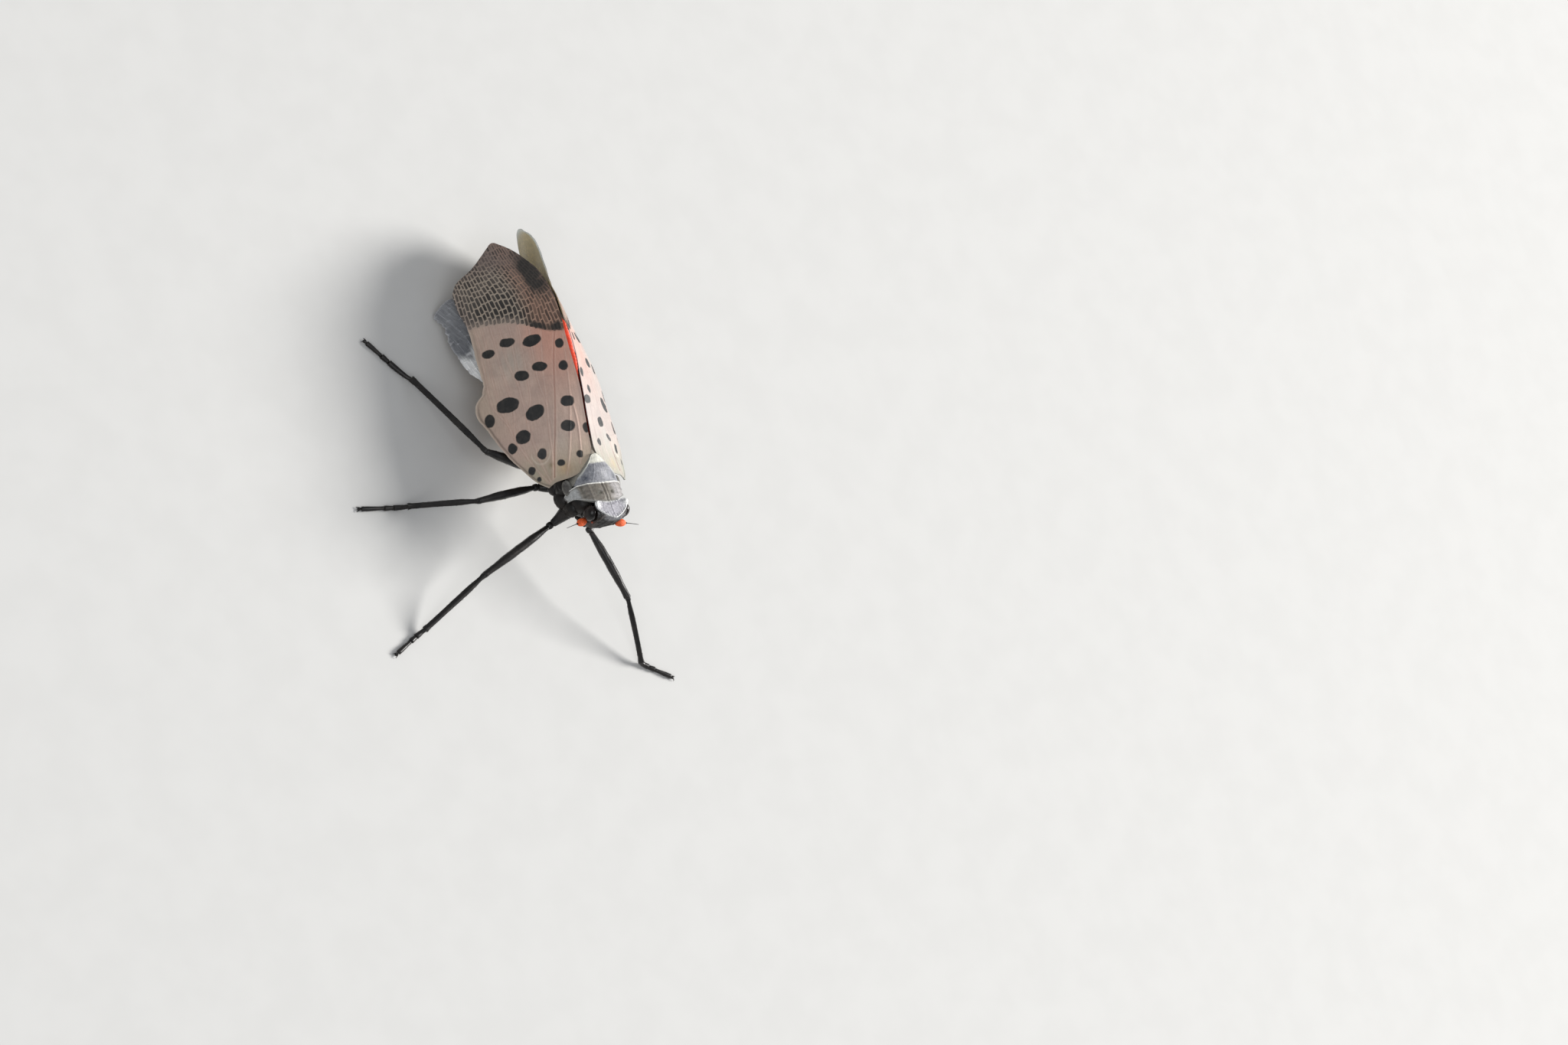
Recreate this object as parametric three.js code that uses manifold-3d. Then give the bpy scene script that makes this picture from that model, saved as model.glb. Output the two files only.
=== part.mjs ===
// A spotted lanternfly (Lycorma delicatula), an adult female at rest with its wings folded
// roof-like over the body, standing on its six feet. Life size, in millimetres.
// Frame: +Z up, the head towards -Y, the insect's left side towards +X. The origin is the middle
// of the bottom face of the bounding box, so the soles of the feet lie in z = 0.
import * as THREE from 'three';
import { mergeVertices } from 'three/addons/utils/BufferGeometryUtils.js';
import Module from 'manifold-3d';

const wasm = await Module();
wasm.setup();

// ---------------------------------------------------------------- driving dimensions
const STAND_HEIGHT = 9.4;      // height of the scutellum's tip over the floor
const SCUTELLUM_Y = 2.4;       // the scutellum's tip, behind the hind margin of the pronotum (y = 0)
const PITCH = 8;               // degrees that the body is held head-up
const ORIGIN_X = -3.964;        // middle of the footprint, in the frame of the body's mid-plane
const ORIGIN_Y = 3.8314;

const WING_THICK = 0.5;        // thickness of every wing sheet
const WING_REF = 9.0;          // arc across a forewing over which its slope goes from A0 to A1
const UNDER_GAP = 0.25;        // gap between a forewing and the hindwing under it
const LEFT_TIP_SHIFT = 1.0;    // the left forewing's tip lies this much further back
const TIP_SPREAD = 0.85;       // and this much further from the middle
const RIDGE_GAP = 0.12;        // half the gap between the two forewings along the ridge
const RIDGE_SPREAD = 0.14;     // extra half gap where the wings part, in front of the net zone
const SIDE_GAP = 0.12;         // gap left between pieces that touch

const THORAX_Z = -2.5;         // height of the thorax's axis under the scutellum's tip
const SHEET_AXIS_Z = -3.2;     // every sheet's inner face looks to a line at this height
const ABDOMEN_CUT = 14.9;      // where the abdomen's last, reddish segments begin
const PRONOTUM_HALF_WIDTH = 2.65;
const PRONOTUM_DROP = 1.75;
const PRONOTUM_THICK = 0.5;
const EYE = { x: 1.62, y: -2.28, z: -0.95, rx: 0.52, ry: 0.6, rz: 0.72 };
const ANTENNA = { x: 1.84, y: -2.74, z: -2.08, along: 0.52, across: 0.34, bristle: 0.25, length: 1.25 };
const ROSTRUM_R = [0.32, 0.27];

// radii of the leg's pieces, at the start, the middle and the end
const COXA_R = [0.46, 0.47, 0.36];
const FEMUR_R = [0.32, 0.46, 0.36];
const TIBIA_R = [0.33, 0.27, 0.28];
const TARSUS_R = 0.28;
const TARSUS_AXIS = 0.21;      // height of the tarsus's axis over the floor, less than its radius
const ANKLE_Z = 0.6;

// joints of each leg: coxa's top, trochanter, knee, ankle (x, y, z over the floor) and foot (x, y)
const LEGS = {
  front_right: { coxa: [-1.3, -1.3, 5.72], hip: [-2.45, -1.95, 4.7], knee: [-8.9, -5.1, 3.1], ankle: [-14.0, -8.4], foot: [-16.9, -10.0] },
  middle_right: { coxa: [-1.5, 1.1, 4.75], hip: [-2.85, 1.3, 4.6], knee: [-8.7, 0.7, 4.5], ankle: [-12.8, 1.8], foot: [-17.2, 2.1] },
  hind_right: { coxa: [-1.4, 2.9, 4.8], hip: [-2.6, 2.75, 4.4], knee: [-6.8, 4.7, 4.5], ankle: [-9.5, 12.3], foot: [-12.9, 16.0] },
  front_left: { coxa: [1.3, -1.3, 5.72], hip: [1.1, -2.6, 4.75], knee: [3.8, -8.6, 4.0], ankle: [6.1, -13.4], foot: [9.2, -15.0] },
  middle_left: { coxa: [1.5, 1.1, 4.75], hip: [2.25, 1.85, 4.75], knee: [5.6, 6.2, 3.4], ankle: [6.6, 0.9], foot: [8.0, -1.0] },
  hind_left: { coxa: [1.4, 2.9, 4.8], hip: [2.0, 3.9, 4.3], knee: [4.9, 7.9, 3.1], ankle: [6.1, 16.4], foot: [6.4, 20.6] },
};

// ---------------------------------------------------------------- materials
const mat = (color, roughness, metalness = 0) => new THREE.MeshStandardMaterial({ color, roughness, metalness });
const M = {
  forewing: mat(0xa08e80, 0.62), hindwing: mat(0x8f9299, 0.65), notum: mat(0x8d8a86, 0.6),
  black: mat(0x17140f, 0.38), eye: mat(0x2a211c, 0.18), antenna: mat(0xd9482a, 0.45),
  abdomen: mat(0xc9a63c, 0.55), tip: mat(0xa8331f, 0.5), face: mat(0x7b7873, 0.6),
};

// ---------------------------------------------------------------- small mathematics
const rad = (d) => d * Math.PI / 180;
const lerp = (a, b, t) => a + (b - a) * t;
const smooth = (a, b, x) => { const t = Math.min(1, Math.max(0, (x - a) / (b - a))); return t * t * (3 - 2 * t); };

// a smooth curve without overshoot through [x, y] knots
function curve(knots) {
  const xs = knots.map((k) => k[0]), ys = knots.map((k) => k[1]), n = xs.length;
  const h = [], d = [], m = [];
  for (let i = 0; i < n - 1; i++) { h.push(xs[i + 1] - xs[i]); d.push((ys[i + 1] - ys[i]) / h[i]); }
  m[0] = d[0]; m[n - 1] = d[n - 2];
  for (let i = 1; i < n - 1; i++) {
    const w1 = 2 * h[i] + h[i - 1], w2 = h[i] + 2 * h[i - 1];
    m[i] = d[i - 1] * d[i] <= 0 ? 0 : (w1 + w2) / (w1 / d[i - 1] + w2 / d[i]);
  }
  return (x) => {
    x = Math.min(xs[n - 1], Math.max(xs[0], x));
    let i = 0;
    while (i < n - 2 && x > xs[i + 1]) i++;
    const t = (x - xs[i]) / h[i], t2 = t * t, t3 = t2 * t;
    return (2 * t3 - 3 * t2 + 1) * ys[i] + (t3 - 2 * t2 + t) * h[i] * m[i] + (3 * t2 - 2 * t3) * ys[i + 1] + (t3 - t2) * h[i] * m[i + 1];
  };
}
const pair = (knots) => { const a = curve(knots.map((k) => [k[0], k[1]])), b = curve(knots.map((k) => [k[0], k[2]])); return (s) => [a(s), b(s)]; };

// ---------------------------------------------------------------- closed meshes
// rings of equal length, one after the other, closed around and capped at both ends;
// 'fan' caps meet in the ring's middle, 'strip' caps join a sheet's two faces
function loft(rings, cap = 'fan') {
  const n = rings[0].length, pos = [], idx = [];
  rings.forEach((r) => r.forEach((p) => pos.push(p[0], p[1], p[2])));
  const at = (i, j) => i * n + ((j + n) % n);
  for (let i = 0; i < rings.length - 1; i++) {
    for (let j = 0; j < n; j++) {
      idx.push(at(i, j), at(i + 1, j), at(i + 1, j + 1), at(i, j), at(i + 1, j + 1), at(i, j + 1));
    }
  }
  for (const [i, turn] of [[0, 1], [rings.length - 1, -1]]) {
    if (cap === 'fan') {
      const c = [0, 1, 2].map((k) => rings[i].reduce((a, p) => a + p[k], 0) / n);
      pos.push(...c);
      const ci = pos.length / 3 - 1;
      for (let j = 0; j < n; j++) idx.push(...(turn > 0 ? [ci, at(i, j), at(i, j + 1)] : [ci, at(i, j + 1), at(i, j)]));
    } else {
      for (let j = 0; j < n / 2 - 1; j++) {
        const a = at(i, j), b = at(i, j + 1), c = at(i, n - 2 - j), d = at(i, n - 1 - j);
        idx.push(...(turn > 0 ? [a, b, c, a, c, d] : [a, c, b, a, d, c]));
      }
    }
  }
  const g = new THREE.BufferGeometry();
  g.setAttribute('position', new THREE.Float32BufferAttribute(pos, 3));
  g.setIndex(idx);
  return outward(g);
}

// turn every face outward
function outward(g) {
  const p = g.getAttribute('position'), i = g.getIndex();
  let v = 0;
  const a = new THREE.Vector3(), b = new THREE.Vector3(), c = new THREE.Vector3();
  for (let k = 0; k < i.count; k += 3) {
    a.fromBufferAttribute(p, i.getX(k)); b.fromBufferAttribute(p, i.getX(k + 1)); c.fromBufferAttribute(p, i.getX(k + 2));
    v += a.dot(b.cross(c));
  }
  if (v < 0) for (let k = 0; k < i.count; k += 3) { const t = i.getX(k); i.setX(k, i.getX(k + 1)); i.setX(k + 1, t); }
  g.computeVertexNormals();
  return g;
}

// a curved sheet: point(s, t) is its outer face, `depth` how far that face lies under the
// surface, and `thick` the sheet's thickness, both along the surface's inward normal
function sheet(point, ns, nt, thick, depth = 0, keepOff = 0) {
  const rings = [];
  const P = (s, t) => new THREE.Vector3(...point(s, t));
  for (let i = 0; i <= ns; i++) {
    const s = i / ns, outer = [], inner = [];
    for (let j = 0; j <= nt; j++) {
      const t = j / nt, e = 1e-3;
      const du = P(Math.min(1, s + e), t).sub(P(Math.max(0, s - e), t));
      const dv = P(s, Math.min(1, t + e)).sub(P(s, Math.max(0, t - e)));
      const nrm = du.cross(dv).normalize();
      const p = P(s, t);
      if (nrm.x * -p.x + nrm.z * (SHEET_AXIS_Z - p.z) < 0) nrm.negate();
      for (const [list, d] of [[outer, depth], [inner, depth + thick]]) {
        const q = p.clone().addScaledVector(nrm, d);
        if (keepOff && Math.abs(q.x) < keepOff) q.x = keepOff * Math.sign(p.x);
        if (keepOff && q.x * p.x < 0) q.x = keepOff * Math.sign(p.x);
        list.push([q.x, q.y, q.z]);
      }
    }
    rings.push([...outer, ...inner.reverse()]);
  }
  return loft(rings, 'strip');
}

// a rounded body along y: at each station its axis height, half width, and height up and down
function blob(stations, nu, nv, power = 2) {
  const f = ['z', 'w', 'up', 'dn'].map((k, i) => curve(stations.map((q) => [q[0], q[i + 1]])));
  const y0 = stations[0][0], y1 = stations[stations.length - 1][0], rings = [];
  for (let i = 0; i <= nu; i++) {
    const u = (1 - Math.cos(Math.PI * i / nu)) / 2, y = lerp(y0, y1, u);
    const ring = [];
    for (let j = 0; j < nv; j++) {
      const a = 2 * Math.PI * j / nv, c = Math.cos(a), s = Math.sin(a);
      const cx = Math.sign(c) * Math.abs(c) ** (2 / power), sz = Math.sign(s) * Math.abs(s) ** (2 / power);
      ring.push([f[1](y) * cx, y, f[0](y) + (sz > 0 ? f[2](y) : f[3](y)) * sz]);
    }
    rings.push(ring);
  }
  return loft(rings);
}

// a straight limb from a to b: a lathe of radii [start, middle, end] with rounded ends
function limb(a, b, r, sides = 8, flat = 1) {
  const A = new THREE.Vector3(...a), B = new THREE.Vector3(...b), L = A.distanceTo(B);
  const rr = curve([[0, r[0]], [0.4, r[1]], [1, r[2]]]);
  const prof = [[0, 0]];
  for (const k of [35, 75]) prof.push([r[0] * Math.sin(rad(k)), r[0] * 0.7 * (1 - Math.cos(rad(k)))]);
  for (const k of [0.25, 0.6]) prof.push([rr(k), L * k]);
  for (const k of [75, 35]) prof.push([r[2] * Math.sin(rad(k)), L - r[2] * 0.7 * (1 - Math.cos(rad(k)))]);
  prof.push([0, L]);
  const g = new THREE.LatheGeometry(prof.map((p) => new THREE.Vector2(...p)), sides);
  g.deleteAttribute('uv'); g.deleteAttribute('normal');
  const q = new THREE.Quaternion().setFromUnitVectors(new THREE.Vector3(0, 1, 0), B.clone().sub(A).normalize());
  g.scale(flat, 1, 1);
  g.applyQuaternion(q);
  return { geometry: outward(mergeVertices(g, 1e-4)), position: A };
}

// booleans on closed geometries
const toSolid = (g) => {
  const h = g.clone(); h.deleteAttribute('normal'); h.deleteAttribute('uv');
  const m = mergeVertices(h, 1e-4);
  return new wasm.Manifold(new wasm.Mesh({ numProp: 3, vertProperties: new Float32Array(m.getAttribute('position').array), triVerts: new Uint32Array(m.getIndex().array) }));
};
const fromSolid = (s) => {
  const m = s.getMesh(), g = new THREE.BufferGeometry();
  g.setAttribute('position', new THREE.Float32BufferAttribute(m.vertProperties, 3));
  g.setIndex(new THREE.Uint32BufferAttribute(m.triVerts, 1));
  return outward(g);
};

// ---------------------------------------------------------------- the folded wing's surface
const ridge = curve([[-1, -0.3], [2.4, 0], [5.4, 0.66], [8.1, 1.37], [10.6, 1.75], [12.9, 1.93], [15.6, 2.0], [17.1, 1.68], [18.6, 1.2], [20.3, 0.6], [22, 0.1], [24.5, -0.7]]);
const slopeIn = curve([[0, 18], [4, 18], [8, 26.5], [12, 39], [16, 48], [20, 42], [24.5, 40]]);
const slopeOut = curve([[0, 60.5], [6, 66.5], [12, 56], [17, 55], [24.5, 46]]);
const ridgeGap = (y) => RIDGE_GAP + RIDGE_SPREAD * smooth(7.5, 11.2, y) * (1 - smooth(12.2, 14, y));

// the left forewing's tip stands up steeper than the right one's, a little away from the middle
const tipRidge = curve([[-1, -0.3], [2.4, 0], [5.4, 0.66], [8.1, 1.37], [10.6, 1.75], [12.9, 1.93], [15.6, 2.0], [17.1, 1.7], [18.6, 1.25], [20.3, 0.85], [22, 0.62], [24.5, 0.3]]);
const tipSlopeIn = curve([[0, 18], [4, 18], [8, 26.5], [12, 39], [16, 48], [18, 58], [20, 70], [22, 76], [24.5, 78]]);
const tipSlopeOut = curve([[0, 60.5], [6, 66.5], [12, 56], [17, 55], [20, 52], [24.5, 50]]);
const tipGap = (y) => ridgeGap(y) + TIP_SPREAD * smooth(16.5, 20.5, y);

// y along the body and w the arc down from the ridge; side is -1 on the right, +1 on the left
function wingPoint(y, w, side) {
  const [gap, top, from, to] = side > 0 ? [tipGap, tipRidge, tipSlopeIn, tipSlopeOut] : [ridgeGap, ridge, slopeIn, slopeOut];
  const a0 = rad(from(y)), half = (rad(to(y)) - a0) / WING_REF * w / 2;
  const chord = Math.abs(half) < 1e-6 ? w : w * Math.sin(half) / half;
  return [side * (gap(y) + chord * Math.cos(a0 + half)), y, top(y) - chord * Math.sin(a0 + half)];
}

// outlines as [fraction from base to tip, y, w]
const innerEdge = pair([[0, 1.0, 3.55], [0.05, 1.0, 2.6], [0.09, 1.1, 1.8], [0.14, 1.9, 0.64], [0.2, 3.2, 0], [0.35, 6.5, 0], [0.6, 12.5, 0], [0.8, 17, 0], [0.88, 18.6, 0.1], [0.93, 19.9, 0.5], [0.97, 21.3, 1.15], [1, 22.25, 1.95]]);
const innerEdgeLeft = pair([[0, 1.0, 3.55], [0.05, 1.0, 2.6], [0.09, 1.1, 1.8], [0.14, 1.9, 0.64], [0.2, 3.2, 0], [0.35, 6.5, 0], [0.6, 12.5, 0], [0.8, 17, 0], [0.88, 18.6, 0.03], [0.93, 19.9, 0.1], [0.97, 21.3, 0.5], [1, 22.45, 1.5]]);
const frontEdgeRight = pair([[0, 0.72, 4.2], [0.05, 1.45, 5.0], [0.1, 2.65, 5.8], [0.2, 4.7, 7.1], [0.3, 6.8, 8.15], [0.38, 8.6, 8.97], [0.42, 9.3, 8.85], [0.47, 10.1, 7.95], [0.52, 11, 7.6], [0.65, 13.8, 7.78], [0.8, 17.4, 7.7], [0.88, 19, 7.4], [0.93, 20, 6.6], [0.965, 20.7, 4.9], [1, 22.2, 2.55]]);
const frontEdgeLeft = pair([[0, 0.72, 4.2], [0.05, 1.45, 5.0], [0.1, 2.65, 5.8], [0.2, 4.7, 7.1], [0.3, 6.8, 8.15], [0.38, 8.6, 8.95], [0.47, 10.6, 9.3], [0.65, 14.2, 9.2], [0.8, 17.4, 8.6], [0.88, 19, 7.9], [0.93, 20.2, 6.9], [0.965, 21.4, 5.4], [1, 22.85, 3.2]]);
const hindInner = pair([[0, 3.6, 1.6], [0.1, 5, 0.5], [0.3, 8, 0.35], [0.6, 13, 0.35], [0.8, 15.5, 0.5], [0.9, 16.6, 1.0], [1, 17.4, 1.8]]);
const hindOuterRight = pair([[0, 3.3, 2.6], [0.1, 4.6, 4.6], [0.2, 6.4, 6.0], [0.3, 8.4, 6.9], [0.4, 10.4, 7.3], [0.47, 11.7, 8.1], [0.55, 12.7, 8.8], [0.63, 13.7, 9.3], [0.72, 15, 9.75], [0.78, 16.1, 10.0], [0.84, 17.3, 9.7], [0.9, 18.3, 9.95], [0.95, 19.1, 8.9], [1, 19.45, 7.8]]);
const hindOuterLeft = pair([[0, 3.3, 2.6], [0.1, 4.6, 4.6], [0.2, 6.4, 6.0], [0.3, 8.4, 6.9], [0.4, 10.4, 7.6], [0.6, 13.4, 8.2], [0.8, 16.4, 8.2], [0.9, 18, 7.9], [1, 19.2, 7.0]]);

function between(inner, outer, side) {
  return (s, t) => {
    const [y0, w0] = inner(s), [y1, w1] = outer(s);
    let y = lerp(y0, y1, t);
    if (side > 0) y += LEFT_TIP_SHIFT * smooth(12, 22, y);
    return wingPoint(y, lerp(w0, w1, t), side);
  };
}

// ---------------------------------------------------------------- the body, in its own frame
const body = new THREE.Group();
body.rotation.x = -rad(PITCH);
body.position.set(0, SCUTELLUM_Y - SCUTELLUM_Y * Math.cos(rad(PITCH)), STAND_HEIGHT + SCUTELLUM_Y * Math.sin(rad(PITCH)));

function add(parent, name, geometry, material, position) {
  const mesh = new THREE.Mesh(geometry, material);
  mesh.name = name;
  if (position) mesh.position.copy(position);
  parent.add(mesh);
  return mesh;
}

for (const [name, side, inner, front, outer] of [['right', -1, innerEdge, frontEdgeRight, hindOuterRight], ['left', 1, innerEdgeLeft, frontEdgeLeft, hindOuterLeft]]) {
  add(body, `forewing_${name}`, sheet(between(inner, front, side), 27, 8, WING_THICK, 0, RIDGE_GAP), M.forewing);
  add(body, `hindwing_${name}`, sheet(between(hindInner, outer, side), 19, 5, WING_THICK, WING_THICK + UNDER_GAP, RIDGE_GAP), M.hindwing);
}

// thorax: y, axis height, half width, height above and below the axis
add(body, 'thorax', blob([[-1.75, THORAX_Z, 0.9, 0.7, 0.9], [-1.3, THORAX_Z, 1.6, 1.15, 1.5], [-0.4, THORAX_Z, 1.95, 1.35, 1.85], [0.15, THORAX_Z, 2.05, 1.4, 2.0], [0.7, THORAX_Z, 2.6, 1.42, 2.1], [2, THORAX_Z, 2.6, 1.4, 2.1], [3.2, THORAX_Z - 0.05, 2.35, 1.2, 1.9], [4, THORAX_Z - 0.1, 1.9, 0.9, 1.5], [4.25, THORAX_Z - 0.1, 1.6, 0.75, 1.3]], 14, 16, 2.2), M.black);

// abdomen, plump in front and tapering to the last segments
const ABDOMEN = [[4.45, -2.75, 1.7, 0.95, 1.4], [5.2, -2.8, 2.2, 1.3, 1.85], [6.8, -2.9, 2.62, 1.55, 2.2], [8.5, -2.9, 2.75, 1.62, 2.3], [10.5, -2.8, 2.6, 1.6, 2.15], [12.5, -2.62, 2.05, 1.4, 1.75], [14, -2.4, 1.5, 1.1, 1.3], [14.9, -2.25, 1.15, 0.9, 1.0], [15.6, -2.12, 0.85, 0.7, 0.8], [16.3, -2.0, 0.4, 0.4, 0.4]];
const cutStations = (list, from, to) => {
  const f = [1, 2, 3, 4].map((k) => curve(list.map((q) => [q[0], q[k]])));
  const ys = [from, ...list.map((q) => q[0]).filter((y) => y > from + 0.05 && y < to - 0.05), to];
  return ys.map((y) => [y, ...f.map((g) => g(y))]);
};
add(body, 'abdomen', blob(cutStations(ABDOMEN, 4.45, ABDOMEN_CUT), 16, 16), M.abdomen);
add(body, 'abdomen_tip', blob(cutStations(ABDOMEN, ABDOMEN_CUT + 0.2, 16.3), 8, 12), M.tip);

// pronotum: a saddle over the front of the thorax, its front margin drawn out in the middle
const pronotumPoint = (s, t) => {
  const a = rad(lerp(-104, 104, t)), x = PRONOTUM_HALF_WIDTH * Math.sin(a), q = Math.min(1, Math.abs(a) / rad(104));
  const front = lerp(-1.8, -0.78, smooth(0, 0.85, q)), hind = 0.02 + 0.1 * smooth(0, 0.4, q) - 0.35 * smooth(0.45, 1, q);
  const top = lerp(0.0, -0.2, s) - 0.1 * (1 - s) * smooth(0.5, 0, s);
  return [x * lerp(0.94, 1, s), lerp(front, hind, s), top - PRONOTUM_DROP * (1 - Math.cos(a))];
};
add(body, 'pronotum', sheet(pronotumPoint, 6, 20, PRONOTUM_THICK), M.notum);

// mesonotum: the shield between the wing bases, ending in the scutellum's tip
const shieldWidth = curve([[0.28, 2.15], [0.75, 1.85], [1.1, 1.42], [1.5, 0.9], [1.9, 0.42], [2.4, 0.12]]);
{
  const rings = [];
  for (let i = 0; i <= 9; i++) {
    const y = lerp(0.28, 2.4, i / 9), outer = [], inner = [];
    for (let j = 0; j <= 10; j++) {
      const x = lerp(-1, 1, j / 10) * shieldWidth(y), z = 0.06 - 0.1 * smooth(1.2, 0.28, y) - 0.2 * x * x;
      outer.push([x, y, z]);
      inner.push([x, y, z - 0.75 + 0.28 * (x / 2.2) ** 2]);
    }
    rings.push([...outer, ...inner.reverse()]);
  }
  add(body, 'mesonotum', loft(rings, 'strip'), M.notum);
}

// head: stacked sections from the vertex down to the mouth; y of the front and the rear, half width
const headFront = curve([[-4.05, -2.2], [-3.4, -2.62], [-2.4, -3.05], [-1.2, -3.28], [-0.35, -3.38], [0.02, -3.2]]);
const headRear = curve([[-4.05, -1.75], [-3.4, -1.78], [-2.4, -1.85], [-1.2, -1.98], [-0.3, -2.02], [0.02, -2.1]]);
const headWidth = curve([[-4.05, 0.32], [-3.4, 0.72], [-2.4, 1.2], [-1.2, 1.42], [-0.3, 1.42], [0.02, 1.1]]);
{
  const rings = [];
  for (let i = 0; i <= 12; i++) {
    const z = lerp(-4.05, 0.02, (1 - Math.cos(Math.PI * i / 12)) / 2), ring = [];
    const yf = headFront(z), yr = headRear(z), w = headWidth(z), yc = lerp(yf, yr, 0.62);
    for (let j = 0; j < 20; j++) {
      const a = 2 * Math.PI * j / 20, c = Math.cos(a), s = Math.sin(a);
      ring.push([w * Math.sign(c) * Math.abs(c) ** 0.9, s > 0 ? yc + (yr - yc) * s ** 0.75 : yc + (yf - yc) * (-s) ** 1.15, z]);
    }
    rings.push(ring);
  }
  let head = toSolid(loft(rings));
  for (const [name, side] of [['right', -1], ['left', 1]]) {
    const ball = (extra) => {
      const g = new THREE.SphereGeometry(1, 12, 8);
      g.scale(EYE.rx + extra, EYE.ry + extra, EYE.rz + extra);
      g.translate(side * EYE.x, EYE.y, EYE.z);
      return g;
    };
    head = head.subtract(toSolid(ball(SIDE_GAP)));
    const eye = ball(0); eye.deleteAttribute('uv'); eye.deleteAttribute('normal');
    add(body, `eye_${name}`, outward(mergeVertices(eye, 1e-4)), M.eye);

    // antenna: short scape, barrel-shaped pedicel and a bristle, pointing sideways
    const { along, across, bristle, length } = ANTENNA;
    const prof = [[0, -along - 0.34], [0.2, -along - 0.3], [0.24, -along]];
    for (const k of [50, 75, 105, 130]) prof.push([across * Math.sin(rad(k)), -along * Math.cos(rad(k))]);
    prof.push([bristle, along], [bristle, along + length * 0.5], [bristle * 0.98, along + length * 0.9], [0, along + length]);
    const g = new THREE.LatheGeometry(prof.map((p) => new THREE.Vector2(...p)), 10);
    g.deleteAttribute('uv'); g.deleteAttribute('normal');
    g.applyQuaternion(new THREE.Quaternion().setFromUnitVectors(new THREE.Vector3(0, 1, 0), new THREE.Vector3(side * 0.95, -0.22, 0.12).normalize()));
    g.translate(side * ANTENNA.x, ANTENNA.y, ANTENNA.z);
    head = head.subtract(toSolid(new THREE.SphereGeometry(0.42, 12, 8).translate(side * (ANTENNA.x - 0.72), ANTENNA.y + 0.12, ANTENNA.z - 0.06)));
    add(body, `antenna_${name}`, outward(mergeVertices(g, 1e-4)), M.antenna);
  }
  add(body, 'head', fromSolid(head), M.face);
}

// rostrum: from the mouth back between the coxae
{
  const path = [[-1.62, -4.35], [-1.0, -4.78], [-0.2, -5.0], [1.4, -5.08], [3.4, -5.12]];
  const rings = path.map(([y, z], i) => {
    const r = lerp(ROSTRUM_R[0], ROSTRUM_R[1], i / (path.length - 1));
    return Array.from({ length: 8 }, (_, j) => [r * Math.cos(j * Math.PI / 4), y - r * 0.25 * Math.sin(j * Math.PI / 4) * (i < 2 ? -1 : 0), z + r * Math.sin(j * Math.PI / 4)]);
  });
  add(body, 'rostrum', loft(rings), M.black);
}

// ---------------------------------------------------------------- the legs, over the floor
const legs = new THREE.Group();
// the point at distance d from a towards b
const towards = (a, b, d) => { const A = new THREE.Vector3(...a), B = new THREE.Vector3(...b); return A.addScaledVector(B.sub(A).normalize(), d).toArray(); };

for (const [name, L] of Object.entries(LEGS)) {
  const ankle = [...L.ankle, ANKLE_Z];
  add(legs, `coxa_${name}`, ...limbArgs(limb(L.coxa, towards(L.hip, L.coxa, 0.22), COXA_R)));
  add(legs, `femur_${name}`, ...limbArgs(limb(towards(L.hip, L.knee, 0.3), towards(L.knee, L.hip, 0.1), FEMUR_R)));
  // where the leg folds sharply the shin starts a little further from the knee
  const u = new THREE.Vector3(...L.hip).sub(new THREE.Vector3(...L.knee)).normalize();
  const v = new THREE.Vector3(...ankle).sub(new THREE.Vector3(...L.knee)).normalize();
  const fold = Math.max(0, u.dot(v));
  add(legs, `tibia_${name}`, ...limbArgs(limb(towards(L.knee, ankle, 0.12 + 1.0 * fold + 0.35 * smooth(-0.9, 0, u.dot(v))), towards(ankle, L.knee, 0.3), TIBIA_R)));

  // tarsus: down from the ankle and flat along the floor to the claws
  const A = new THREE.Vector3(...L.ankle, 0), F = new THREE.Vector3(...L.foot, 0), dir = F.clone().sub(A), len = dir.length();
  dir.normalize();
  const across = new THREE.Vector3(-dir.y, dir.x, 0), rings = [];
  for (const [k, z, r] of [[0.0, 0.3, 0.2], [0.05, 0.3, 0.27], [0.22, 0.23, TARSUS_R], [0.5, TARSUS_AXIS, TARSUS_R], [0.8, TARSUS_AXIS, TARSUS_R], [0.96, TARSUS_AXIS, 0.27], [1, TARSUS_AXIS, 0.2]]) {
    rings.push(Array.from({ length: 8 }, (_, j) => {
      const a = (j + 0.5) * Math.PI / 4;
      const p = A.clone().addScaledVector(dir, len * k).addScaledVector(across, r * Math.cos(a));
      return [p.x, p.y, Math.max(0, z + r * Math.sin(a))];
    }));
  }
  add(legs, `tarsus_${name}`, loft(rings), M.black);
}
function limbArgs(l) { return [l.geometry, M.black, l.position]; }

const lanternfly = new THREE.Group();
lanternfly.name = 'spotted_lanternfly';
lanternfly.add(body, legs);
lanternfly.position.set(-ORIGIN_X, -ORIGIN_Y, 0);

export default lanternfly;
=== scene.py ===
"""The looks of a life-size spotted lanternfly (Lycorma delicatula) at rest on a pale floor.

Everything is worked out in millimetres. The body, with its wings, is described in its own frame, y backwards from the
hind margin of the pronotum and z up from the scutellum's tip, and the legs over the floor, as in the part's solids."""

import math

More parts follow.
